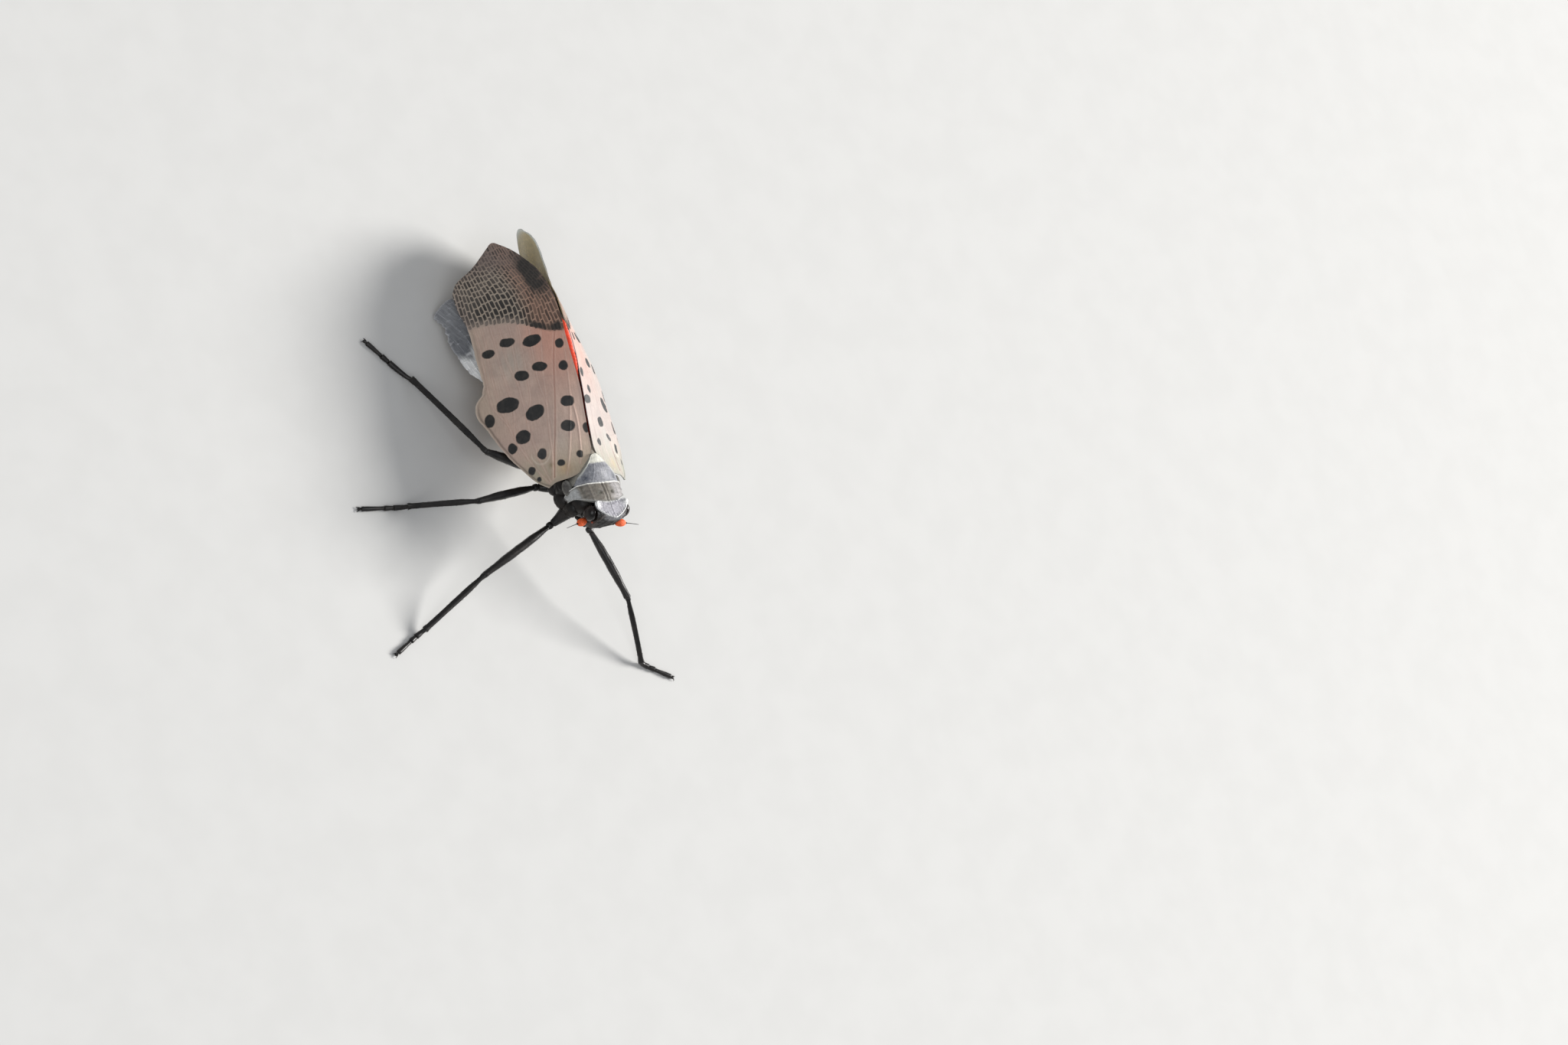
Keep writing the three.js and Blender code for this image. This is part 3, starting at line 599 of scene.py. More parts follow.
M_WING_R = forewing_material("forewing_right_leather")
# the left forewing's material is a copy of the right one painted lighter and bluer, as painted sunlight on that wing
M_WING_L_PAINTED_LIGHT = forewing_material("forewing_left_leather_painted_light", (0.96, 1.12, 1.25))
M_HIND = hindwing_material()
M_NOTUM = tinted("notum_cuticle", grain=4200, amount=0.16, rough=(0.46, 0.64), bump=0.02, bloom=0.5, bloom_colour=(0.55, 0.555, 0.56))
M_FACE = tinted("face_cuticle", grain=5200, amount=0.18, rough=(0.42, 0.62), bump=0.022, bloom=0.45, bloom_colour=(0.6, 0.6, 0.6), specular=0.28)
M_ABDOMEN = tinted("abdomen_cuticle", grain=3600, amount=0.14, rough=(0.42, 0.6), bump=0.018, bloom=0.6, bloom_colour=(0.66, 0.65, 0.6))
M_BLACK = cuticle_material("black_cuticle")
M_LEG = cuticle_material("leg_cuticle", low=(0.005, 0.0045, 0.0045), high=(0.018, 0.0155, 0.014), rough=(0.3, 0.48), coat=0.12)
M_HAIR = cuticle_material("bristle_cuticle", low=(0.007, 0.006, 0.005), high=(0.02, 0.015, 0.011), rough=(0.4, 0.5), bump=0.001)
M_EYE = eye_material()
M_ANT = antenna_material()

# ------------------------------------------------------------------ the folded wings' surface

ridge = curve([(-1, -0.3), (2.4, 0), (5.4, 0.66), (8.1, 1.37), (10.6, 1.75), (12.9, 1.93), (15.6, 2.0), (17.1, 1.68), (18.6, 1.2), (20.3, 0.6), (22, 0.1), (24.5, -0.7)])
slope_in = curve([(0, 18), (4, 18), (8, 26.5), (12, 39), (16, 48), (20, 42), (24.5, 40)])
slope_out = curve([(0, 60.5), (6, 66.5), (12, 56), (17, 55), (24.5, 46)])


def ridge_gap(y):
    return 0.12 + 0.14 * smooth(7.5, 11.2, y) * (1 - smooth(12.2, 14, y))


# the left forewing's tip stands up steeper than the right one's, a little away from the middle
tip_ridge = curve([(-1, -0.3), (2.4, 0), (5.4, 0.66), (8.1, 1.37), (10.6, 1.75), (12.9, 1.93), (15.6, 2.0), (17.1, 1.7), (18.6, 1.25), (20.3, 0.85), (22, 0.62), (24.5, 0.3)])
tip_slope_in = curve([(0, 18), (4, 18), (8, 26.5), (12, 39), (16, 48), (18, 58), (20, 70), (22, 76), (24.5, 78)])
tip_slope_out = curve([(0, 60.5), (6, 66.5), (12, 56), (17, 55), (20, 52), (24.5, 50)])


def tip_gap(y):
    return ridge_gap(y) + 0.85 * smooth(16.5, 20.5, y)


def wing_point(y, w, side):
    gap, top, start, end = (tip_gap, tip_ridge, tip_slope_in, tip_slope_out) if side > 0 else (ridge_gap, ridge, slope_in, slope_out)
    a0 = np.radians(start(y))
    half = (np.radians(end(y)) - a0) / WING_REF * w / 2
    chord = w * np.sinc(half / np.pi)
    return np.stack([side * (gap(y) + chord * np.cos(a0 + half)), np.broadcast_to(y, half.shape), top(y) - chord * np.sin(a0 + half)], -1)


def wing_normal(y, w, side):
    e = 1e-3
    du = wing_point(y + e, w, side) - wing_point(y - e, w, side)
    dv = wing_point(y, w + e, side) - wing_point(y, w - e, side)
    n = unit(np.cross(du, dv))
    flip = np.sign(n[..., 2:3] + 1e-9)
    return n * flip


inner_edge = pair([(0, 1.0, 3.55), (0.05, 1.0, 2.6), (0.09, 1.1, 1.8), (0.14, 1.9, 0.64), (0.2, 3.2, 0), (0.35, 6.5, 0), (0.6, 12.5, 0), (0.8, 17, 0), (0.88, 18.6, 0.1), (0.93, 19.9, 0.5), (0.97, 21.3, 1.15), (1, 22.25, 1.95)])
inner_edge_left = pair([(0, 1.0, 3.55), (0.05, 1.0, 2.6), (0.09, 1.1, 1.8), (0.14, 1.9, 0.64), (0.2, 3.2, 0), (0.35, 6.5, 0), (0.6, 12.5, 0), (0.8, 17, 0), (0.88, 18.6, 0.03), (0.93, 19.9, 0.1), (0.97, 21.2, 0.5), (1, 22.15, 1.45)])
front_edge_right = pair([(0, 0.72, 4.2), (0.05, 1.45, 5.0), (0.1, 2.65, 5.8), (0.2, 4.7, 7.1), (0.3, 6.8, 8.15), (0.38, 8.6, 8.97), (0.42, 9.3, 8.85), (0.47, 10.1, 7.95), (0.52, 11, 7.6), (0.65, 13.8, 7.78), (0.8, 17.4, 7.7), (0.88, 19, 7.4), (0.93, 20, 6.6), (0.965, 20.7, 4.9), (1, 22.2, 2.55)])
front_edge_left = pair([(0, 0.72, 4.2), (0.05, 1.45, 5.0), (0.1, 2.65, 5.8), (0.2, 4.7, 7.1), (0.3, 6.8, 8.15), (0.38, 8.6, 8.95), (0.47, 10.6, 9.3), (0.65, 14.2, 9.2), (0.8, 17.4, 8.6), (0.88, 19, 7.9), (0.93, 20.2, 6.9), (0.965, 21.3, 5.4), (1, 22.5, 3.3)])
hind_inner = pair([(0, 3.6, 1.6), (0.1, 5, 0.5), (0.3, 8, 0.35), (0.6, 13, 0.35), (0.8, 15.5, 0.5), (0.9, 16.6, 1.0), (1, 17.4, 1.8)])
hind_outer_right = pair([(0, 3.3, 2.6), (0.1, 4.6, 4.6), (0.2, 6.4, 6.0), (0.3, 8.4, 6.9), (0.4, 10.4, 7.3), (0.47, 11.7, 8.1), (0.55, 12.7, 8.8), (0.63, 13.7, 9.3), (0.72, 15, 9.75), (0.78, 16.1, 10.0), (0.84, 17.3, 9.7), (0.9, 18.3, 9.95), (0.95, 19.1, 8.9), (1, 19.45, 7.8)])
hind_outer_left = pair([(0, 3.3, 2.6), (0.1, 4.6, 4.6), (0.2, 6.4, 6.0), (0.3, 8.4, 6.9), (0.4, 10.4, 7.6), (0.6, 13.4, 8.2), (0.8, 16.4, 8.2), (0.9, 18, 7.9), (1, 19.2, 7.0)])

# spots of the forewing: y, w, half length, half width, turn in degrees from +y towards +w
SPOTS_RIGHT = [
    (13.17, 6.63, 0.57, 0.39, -108), (13.48, 4.88, 0.69, 0.41, -108), (12.81, 2.82, 0.78, 0.49, -95), (11.76, 0.68, 0.39, 0.36, 0),
    (9.88, 0.87, 0.42, 0.38, 0), (10.43, 2.73, 0.63, 0.41, -105), (10.24, 4.35, 0.62, 0.43, -110), (8.35, 6.12, 1.0, 0.61, -100),
    (6.93, 4.02, 0.8, 0.6, 95), (7.03, 1.26, 0.61, 0.41, -110), (7.78, 7.97, 0.54, 0.46, -162), (5.10, 1.57, 0.61, 0.44, -109),
    (5.37, 5.33, 0.64, 0.56, 80), (4.83, 6.39, 0.46, 0.38, -139), (3.54, 4.05, 0.44, 0.39, 0), (2.67, 1.04, 0.32, 0.27, 0),
    (2.38, 2.71, 0.32, 0.26, -112), (2.54, 5.16, 0.33, 0.29, 0), (1.65, 4.74, 0.21, 0.2, 0), (4.61, 0.09, 0.4, 0.3, 0),
]
SPOTS_LEFT = [
    (13.3, 6.8, 0.55, 0.4, -108), (13.5, 5.0, 0.66, 0.42, -106), (12.75, 2.95, 0.74, 0.47, -98), (12.32, 0.93, 0.36, 0.33, 0),
    (9.13, 0.4, 0.4, 0.27, 0), (10.4, 2.8, 0.6, 0.42, -104), (10.3, 4.5, 0.6, 0.44, -108), (8.3, 6.3, 0.95, 0.6, -100), (10.9, 7.6, 0.5, 0.36, -100),
    (7.05, 4.1, 0.78, 0.58, 97), (6.88, 0.45, 0.5, 0.36, -100), (7.78, 1.1, 0.34, 0.28, 0), (7.75, 8.0, 0.5, 0.44, -160), (5.2, 1.9, 0.5, 0.4, -109),
    (5.4, 5.3, 0.62, 0.55, 82), (4.8, 6.4, 0.44, 0.38, -139), (4.09, 2.84, 0.42, 0.22, -60), (3.48, 1.0, 0.33, 0.28, 0),
    (3.4, 4.2, 0.42, 0.38, 0), (2.5, 5.2, 0.31, 0.28, 0),
]

# the veins that run along the forewing, as y, w; then the claval suture
VEINS = [
    [(1.3, 2.5), (3.2, 1.8), (6.0, 1.2), (8.6, 0.78), (10.8, 0.42), (12.4, 0.2)],
    [(1.9, 1.2), (3.4, 0.85), (5.2, 0.72), (7.4, 0.9)],
    [(1.25, 3.7), (3.0, 3.3), (6.0, 3.05), (9.0, 2.75), (12.0, 2.15), (14.4, 1.7)],
    [(7.2, 2.95), (9.0, 3.15), (12.0, 2.95), (15.0, 2.75)],
    [(1.2, 3.9), (3.0, 4.3), (6.0, 4.75), (9.0, 4.85), (12.0, 4.5), (15.2, 4.35)],
    [(6.4, 4.75), (8.5, 4.1), (12.0, 3.75), (15.0, 3.6)],
    [(9.6, 4.8), (12.0, 5.2), (15.5, 5.25)],
    [(1.1, 4.05), (3.0, 5.0), (6.0, 6.2), (9.0, 6.85), (12.0, 6.75), (15.8, 6.65)],
    [(5.6, 6.0), (8.0, 5.75), (12.0, 5.85), (15.7, 5.95)],
    [(6.6, 6.35), (9.0, 7.45), (12.5, 7.25), (15.8, 7.25)],
]
SUTURE = [(1.4, 3.53), (1.6, 3.48), (5.76, 2.52), (8.58, 2.0), (12.89, 0.78), (14.4, 0.25)]
net_start = curve([(0, 12.6), (0.28, 12.74), (1.13, 13.0), (2.09, 13.59), (2.98, 14.25), (3.8, 14.75), (4.98, 15.2), (6.39, 15.61), (7.36, 15.77), (9.5, 15.85)])


def near_line(y, w, knots, width_start=True):
    """How far a point lies from a vein, across it; far away where the vein isn't."""
    f = curve(knots)
    y0, y1 = knots[0][0], knots[-1][0]
    slope = (f(y + 0.05) - f(y - 0.05)) / 0.1
    d = (w - f(y)) / np.sqrt(1 + slope**2)
    beyond = np.maximum(0, np.maximum(y0 - y, y - y1))
    return np.sqrt(d**2 + (beyond * 1.5) ** 2)


def spot_field(y, w, spots, seed):
    """Signed distance to the nearest spot's edge in mm, positive inside."""
    wy = y + 0.05 * fbm(y * 2.3, w * 2.3, 2, seed)
    ww = w + 0.05 * fbm(y * 2.3 + 40, w * 2.3, 2, seed + 1)
    best = np.full(y.shape, -9.0)
    for cy, cw, a, b, turn in spots:
        c, s = math.cos(math.radians(turn)), math.sin(math.radians(turn))
        u, v = (wy - cy) * c + (ww - cw) * s, -(wy - cy) * s + (ww - cw) * c
        r = (np.abs(u / a) ** 2.2 + np.abs(v / b) ** 2.2) ** (1 / 2.2)
        best = np.maximum(best, (1 - r) * math.sqrt(a * b))
    return best


cell_width = curve([(-1, 0.27), (1.0, 0.28), (2.5, 0.33), (4.0, 0.4), (6.0, 0.39), (8.0, 0.33), (10, 0.32)])


def row_place(y, w):
    """The net's rows run along the wing and draw together towards its tip."""
    squeeze = 1 - 0.27 * smooth(14.5, 20.5, y)
    return 3.4 + (w - 3.4) / squeeze - 0.10 * np.sin(0.9 * y + 0.5 * w) - 0.05 * fbm(y * 1.1, w * 1.3, 2, 71)


def net_field(y, w, seed):
    """Distance to the nearest border of the net's cells in mm, a number from 0 to 1 for each cell, and whether the cell
    lies beyond the edge of the netted field. Cells are rounded oblongs in rows, stepped like bricks."""
    rng = np.random.default_rng(seed)
    borders = [-0.9]
    while borders[-1] < 10.8:
        borders.append(borders[-1] + float(cell_width(borders[-1])) * rng.uniform(0.86, 1.14))
    borders = np.array(borders)
    q = row_place(y, w)
    row = np.clip(np.searchsorted(borders, q) - 1, 0, len(borders) - 2)
    squeeze = 1 - 0.27 * smooth(14.5, 20.5, y)
    dist, luck, inside = np.zeros(y.shape), np.zeros(y.shape), np.zeros(y.shape)
    for r in range(len(borders) - 1):
        at = row == r
        w_mid = max((borders[r] + borders[r + 1]) / 2, 0)
        start = float(net_start(min(w_mid, 9)))
        ends = [start - 4.0, start + 0.04 + rng.uniform(-0.06, 0.06)]
        first = rng.uniform(0.55, 0.75) if r % 2 else rng.uniform(1.0, 1.25)
        while ends[-1] < 25:
            past = ends[-1] - start
            L = 0.62 + 0.12 * math.exp(-((past - 0.9) ** 2) / 1.4) - 0.17 * float(smooth(2.2, 6, past)) + 0.2 * float(smooth(2.6, 1.2, w_mid))
            ends.append(ends[-1] + L * (first if len(ends) == 2 else rng.uniform(0.72, 1.3)))
        ends = np.array(ends)
        chance = rng.uniform(0, 1, len(ends))
        if not at.any():
            continue
        yy = y[at] + 0.05 * np.sin(7.0 * w[at] + r)
        k = np.clip(np.searchsorted(ends, yy) - 1, 0, len(ends) - 2)
        sq = squeeze[at]
        hl, hw = (ends[k + 1] - ends[k]) / 2, (borders[r + 1] - borders[r]) / 2 * sq
        py = np.abs(yy - (ends[k + 1] + ends[k]) / 2)
        pw = np.abs(q[at] - (borders[r + 1] + borders[r]) / 2) * sq
        c = hw * 0.75
        ay, aw = py - (hl - c), pw - (hw - c)
        dist[at] = -(np.minimum(np.maximum(ay, aw), 0) + np.hypot(np.maximum(ay, 0), np.maximum(aw, 0)) - c)
        luck[at] = chance[k]
        inside[at] = (k > 0).astype(float)
    return dist, luck, inside


def gauss(y, w, cy, cw, ry, rw):
    return np.exp(-(((y - cy) / ry) ** 2) - ((w - cw) / rw) ** 2)


def forewing_paint(y, w, side, seed, edge):
    """Ground colour, net fields and relief of a forewing at (y, w); edge is the distance to its front edge in mm."""
    past = y - net_start(np.maximum(w, 0))
    dist, luck, inside = net_field(y, w, seed)
    pink, cream, salmon = rgb(0.445, 0.328, 0.272), rgb(0.365, 0.305, 0.226), rgb(0.58, 0.285, 0.208)
    grey_green, yellow = rgb(0.375, 0.35, 0.30), rgb(0.43, 0.355, 0.265)

    def blend(c, d, m):
        return c + (d - c) * np.clip(m, 0, 1)[..., None]

    c = np.broadcast_to(pink, y.shape + (3,)).copy()
    c = blend(c, cream, 1 - smooth(1.2, 5.2, y))
    c = blend(c, yellow, 0.5 * smooth(5.5, 8.5, w) * smooth(5, 8, y))
    c = blend(c, salmon, 0.72 * smooth(6.0, 12.0, y) * (1 - smooth(1.2, 4.3, w)))
    c = blend(c, salmon, 0.34 * gauss(y, w, 13.3, 2.2, 1.2, 1.8))
    c = blend(c, grey_green, 0.55 * gauss(y, w, 11.6, 4.9, 1.5, 1.3))
    c = blend(c, grey_green, 0.35 * gauss(y, w, 4.0, 2.3, 1.3, 0.7))
    c = blend(c, rgb(0.5, 0.33, 0.17), 0.55 * gauss(y, w, 1.85, 2.5, 0.5, 0.55))
    c = blend(c, rgb(0.17, 0.14, 0.07), 0.75 * gauss(y, w, 2.45, 3.5, 0.2, 0.22))
    c = blend(c, rgb(0.30, 0.31, 0.22), 0.35 * gauss(y, w, 2.3, 5.0, 0.9, 0.6))
    c = blend(c, rgb(0.33, 0.27, 0.22), 0.4 * (1 - smooth(0.8, 1.6, y)))
    c = c * (1 + 0.05 * fbm(y * 0.9, w * 1.2, 3, 5))[..., None]
    relief = 0.045 * fbm(y * 0.35 + 3, w * 0.55, 2, 11 + side)

    # veins along the wing, thicker near its base
    body = 1 - smooth(-0.5, 0.3, past)
    for k, knots in enumerate(VEINS):
        d = near_line(y, w, knots)
        thick = 0.065 - 0.015 * smooth(3, 12, y)
        r = np.exp(-((d / thick) ** 2))
        relief += (0.034 - 0.012 * smooth(4, 12, y)) * r
        c = blend(c, rgb(0.40, 0.25, 0.20), 0.36 * np.exp(-(((d - 0.085) / 0.05) ** 2)) * body)
        c = blend(c, rgb(0.58, 0.45, 0.38), 0.3 * r * body)
    d = near_line(y, w, SUTURE)
    relief += -0.035 * np.exp(-((d / 0.05) ** 2)) + 0.016 * np.exp(-(((d - 0.12) / 0.05) ** 2))
    c = blend(c, rgb(0.36, 0.17, 0.13), 0.62 * np.exp(-((d / 0.045) ** 2)) * body)
    c = blend(c, rgb(0.62, 0.44, 0.36), 0.3 * np.exp(-(((d - 0.12) / 0.05) ** 2)) * body)
    # a pale arched vein at the base, round the first big spot
    arc = np.abs(np.hypot((y - 3.75) / 1.25, w - 4.15) - 0.78)
    arched = np.exp(-((arc / 0.055) ** 2)) * (1 - smooth(3.5, 3.9, y))
    c = blend(c, rgb(0.58, 0.5, 0.41), 0.55 * arched)
    relief += 0.04 * arched
    # cross veins, few before the net
    for cy, w0, w1, lean in ((4.4, 3.2, 4.5, 0.3), (6.9, 4.8, 6.2, -0.3), (9.4, 1.8, 2.8, 0.25), (10.9, 5.3, 6.8, 0.3), (12.0, 3.1, 4.0, -0.2), (13.9, 2.0, 3.4, 0.3), (14.4, 4.4, 5.9, 0.2), (8.0, 6.8, 8.2, 0.3)):
        d = np.hypot(y - cy - lean * (w - (w0 + w1) / 2), 1.6 * np.maximum(0, np.maximum(w0 - w, w - w1)))
        r = np.exp(-((d / 0.055) ** 2)) * body
        relief += 0.025 * r
        c = blend(c, rgb(0.38, 0.27, 0.23), 0.25 * r)

    # the net
    comm = 1 - smooth(1.8, 3.4, w)
    costal = smooth(6.2, 8.0, w)
    tip = smooth(4.6, 7.0, past + 0.25 * np.maximum(0, w - 3)) * (1 - 0.3 * comm)
    vein = np.broadcast_to(rgb(0.315, 0.262, 0.208), y.shape + (3,)).copy()
    vein = blend(vein, rgb(0.34, 0.195, 0.135), 0.85 * comm)
    vein = blend(vein, rgb(0.255, 0.205, 0.182), 0.6 * costal)
    vein = blend(vein, rgb(0.43, 0.33, 0.275), 0.6 * (1 - smooth(0.0, 0.9, past)) * smooth(2.6, 4.0, w))
    vein = blend(vein, rgb(0.20, 0.15, 0.128), 0.95 * tip)
    cell = np.broadcast_to(rgb(0.042, 0.036, 0.031), y.shape + (3,)).copy()
    cell = blend(cell, rgb(0.150, 0.088, 0.062), 0.8 * comm)
    cell = blend(cell, rgb(0.125, 0.102, 0.090), 0.6 * costal)
    cell = blend(cell, rgb(0.105, 0.084, 0.070), 0.5 * smooth(1.8, 4.4, past))
    cell = blend(cell, rgb(0.114, 0.087, 0.077), 0.95 * tip)
    cell = cell * (0.62 + 0.85 * luck**1.4)[..., None]
    # the darkest cells lie past the field's edge, in the middle; the first ones in front are paler
    cell = cell * (1 - 0.3 * gauss(past, w, 1.1, 4.0, 1.1, 2.2))[..., None]
    cell = blend(cell, rgb(0.19, 0.155, 0.13), 0.85 * (1 - smooth(0.15, 0.9, past)) * smooth(2.7, 3.8, w))
    # blotches along the boundary near the commissure, and a smoky patch near the hind margin
    blotch = smooth(-0.06, 0.05, past + 0.06 * fbm(y * 5, w * 5, 2, 3)) * (1 - smooth(0.3, 0.75, past - 0.35 * gauss(y, w, 13.2, 0.45, 0.8, 0.4) - 0.15 * gauss(y, w, 13.9, 2.1, 0.5, 0.5)))
    blotch = blotch * smooth(0.0, 0.3, w) * (1 - smooth(2.4, 3.0, w)) * (1 - 0.45 * gauss(y, w, 13.3, 1.3, 1.0, 0.28))
    smoke = 1.75 * np.exp(-(np.abs((y - 18.5) / 2.1) ** 3) - np.abs((w - 0.72) / 0.8) ** 3) * (0.82 + 0.35 * fbm(y * 1.3, w * 1.3, 2, 8))
    dark = np.clip(np.maximum(blotch, smoke), 0, 1)
    vein = blend(vein, rgb(0.026, 0.0235, 0.0205), 0.95 * dark)
    cell = blend(cell, rgb(0.018, 0.0162, 0.0142), 0.95 * dark)
    netted = smooth(-0.12, 0.16, past)
    c = blend(c, vein, np.maximum(netted, blotch * 0.9))
    wire = np.exp(-((dist / 0.055) ** 2)) * inside
    pillow = smooth(0.02, 0.16, dist) * inside
    relief += (0.038 * wire - 0.012 * pillow) * (1 - 0.55 * tip)
    # the rims: a dark line inside the front edge and a pale cord on it
    if side < 0:
        whole = 1 - smooth(8.6, 9.6, y)
    else:
        whole = np.ones_like(y)
    rim = np.exp(-((edge / 0.09) ** 2))
    line = np.exp(-(((edge - 0.24) / 0.11) ** 2)) * (0.35 + 0.65 * whole)
    c = blend(c, rgb(0.11, 0.085, 0.07), 0.62 * line)
    c = blend(c, rgb(0.52, 0.45, 0.37), 0.6 * rim * (1 - 0.7 * netted))
    relief += 0.05 * rim
    comm_edge = np.exp(-((np.maximum(w, 0) / 0.12) ** 2)) * smooth(1.5, 3, y)
    c = blend(c, rgb(0.52, 0.40, 0.34), 0.4 * comm_edge * body)
    relief += 0.03 * comm_edge
    return c, cell, dist, inside, relief


def forewing(name, side, inner, front, spots, seed, material):
    ns, nt = 421, 185
    s = np.linspace(0, 1, 4001)
    yi, wi = inner(s)
    yo, wo = front(s)
    ym = (yi + yo) / 2
    # closer rows where the net is
    step = 1 / np.where(ym > 12.4, 0.042, 0.075) * np.abs(np.gradient(ym)) + 0.02
    cum = np.concatenate([[0], np.cumsum((step[1:] + step[:-1]) / 2)])
    s = np.interp(np.linspace(0, 1, ns), cum / cum[-1], s)
    yi, wi = inner(s)
    yo, wo = front(s)
    t = np.linspace(0, 1, nt)
    # a little wear on the front edge, most where it is broken
    worn = 0.03 + (0.07 * smooth(8.8, 9.6, yo) * (1 - smooth(11.5, 13.5, yo)) if side < 0 else 0.0)
    wo = wo + worn * fbm(yo * 3.1, yo * 0 + side, 3, 2) * smooth(0.5, 2.0, yo)
    Y = yi[:, None] + (yo - yi)[:, None] * t
    W = wi[:, None] + (wo - wi)[:, None] * t
    # the end is rounded
    Y = Y + (0.34 if side > 0 else 0.14) * (4 * t * (1 - t))[None, :] * smooth(0.9, 1.0, s)[:, None]
    width = np.hypot(yo - yi, wo - wi)[:, None]
    edge = (1 - t)[None, :] * width
    c, cell, dist, inside, relief = forewing_paint(Y, W, side, seed, edge)
    ys = Y + (LEFT_TIP_SHIFT * smooth(12, 22, Y) if side > 0 else 0)
    n = wing_normal(ys, W, side)
    P = wing_point(ys, W, side)
    # the tip of a wing is slightly wavy
    wave = 0.05 * np.sin(1.9 * Y + 1.1 * W) * smooth(15, 20, Y)
    top = P + n * (relief + wave - 0.02)[..., None]
    thick = 0.075 + 0.05 * np.exp(-((edge / 0.15) ** 2))
    bottom = P - n * (thick - relief * 0.5 - wave)[..., None]
    for q in (top, bottom):
        q[..., 0] = side * np.maximum(side * q[..., 0], 0.1)
    lay = np.stack([W, Y, np.zeros_like(Y)], -1)
    field = spot_field(Y, W, spots, seed)
    common = dict(lay=lay, spot=field, cell=dist, net=inside)
    pale = c * 0.82 + 0.05
    under = pale * 0.9 + rgb(0.05, 0.045, 0.045) * 0.5
    # the netted end's underside is painted pale straw with faint cells, a painted glow standing in for light shining
    # through the thin wing, and with a painted highlight along its rims
    painted_glow = smooth(-0.2, 0.6, Y - net_start(np.maximum(W, 0)))[..., None]
    under = under + (rgb(0.60, 0.43, 0.20) * (1 + 0.12 * fbm(Y * 1.5, W * 1.5, 3, 4))[..., None] - under) * painted_glow * 0.85
    inner_gap = t[None, :] * width
    # painted highlight along the underside's front edge, along its inner edge near the tip, and at its end
    bright = np.exp(-((edge / 0.16) ** 2)) + np.exp(-((inner_gap / 0.16) ** 2)) * smooth(16.5, 18.5, Y)
    bright = np.clip(bright + np.exp(-(((1 - s)[:, None] * 22 / 0.3) ** 2)), 0, 1)[..., None] * painted_glow
    under = under + (rgb(0.72, 0.68, 0.6) - under) * bright * 0.85
    below_cell = cell * 1.5 * (1 - painted_glow) + (rgb(0.29, 0.21, 0.12) * 0.85 + cell * 0.6) * painted_glow
    p = Piece()
    p.sheet(
        body_to_row(top), body_to_row(bottom), np.stack([Y, W], -1),
        top_attrs=dict(tint=colour4(c), cellcol=colour4(cell), **common),
        bottom_attrs=dict(tint=colour4(under), cellcol=colour4(below_cell), **dict(common, net=inside * (1 - 0.45 * painted_glow[..., 0]) * (1 - bright[..., 0]))),
        flip=side < 0, coarse=True,
    )
    return p.object(name, [material], replaces=[name.replace("_sheet", "")], sharp=60)


# ------------------------------------------------------------------ hindwings


def hindwing_paint(y, w, side):
    def blend(c, d, m):
        return c + (d - c) * np.clip(m, 0, 1)[..., None]

    red, black, white = rgb(0.56, 0.035, 0.02), rgb(0.02, 0.018, 0.018), rgb(0.7, 0.7, 0.69)
    grey = rgb(0.155, 0.160, 0.170)
    n1 = fbm(y * 2.0, w * 2.0, 3, 21)
    c = np.broadcast_to(red, y.shape + (3,)).copy()
    for cy, cw, r in ((5.4, 3.6, 0.42), (7.1, 2.4, 0.4), (7.3, 4.9, 0.5), (9.0, 3.6, 0.46), (9.1, 6.2, 0.4), (6.0, 1.7, 0.3), (8.6, 1.5, 0.3)):
        c = blend(c, black, smooth(0.06, -0.06, np.hypot(y - cy, w - cw) + 0.06 * n1 - r))
    front = y - (10.6 + 0.12 * w - 1.2 * smooth(5.8, 7.2, w)) + 0.12 * n1
    c = blend(c, black, smooth(0, 0.25, front) * (1 - 0.85 * smooth(6.2, 7.2, w)))
    band = smooth(-0.15, 0.15, front - 0.5) * smooth(4.5, 6.5, w)
    c = blend(c, white, band)
    beyond = smooth(-0.5, 0.7, y - (13.9 + 0.35 * (w - 8)) + 0.5 * n1)
    c = blend(c, grey, beyond)
    c = blend(c, rgb(0.07, 0.075, 0.087), 0.7 * gauss(y, w, 14.3, 8.4, 1.1, 1.0) * beyond)
    c = blend(c, rgb(0.30, 0.305, 0.315), 0.4 * smooth(16.3, 18.3, y) * smooth(7.5, 9.5, w))
    # a bright strip beside the forewing's edge, and crumples that catch the light
    c = blend(c, white, 0.85 * np.exp(-(((w - 8.1 + 0.12 * n1) / 0.28) ** 2)) * smooth(15.4, 14.0, y) * smooth(11.6, 12.4, y))
    c = blend(c, rgb(0.5, 0.5, 0.51), 0.75 * smooth(0.18, 0.5, fbm(y * 2.7 + 7, w * 1.3, 3, 33)) * smooth(12.5, 13.5, y) * smooth(16.8, 15.2, y) * smooth(7.8, 8.4, w))
    c = blend(c, rgb(0.02, 0.02, 0.022), 0.8 * beyond * (1 - smooth(5.5, 7.4, w)))
    return c


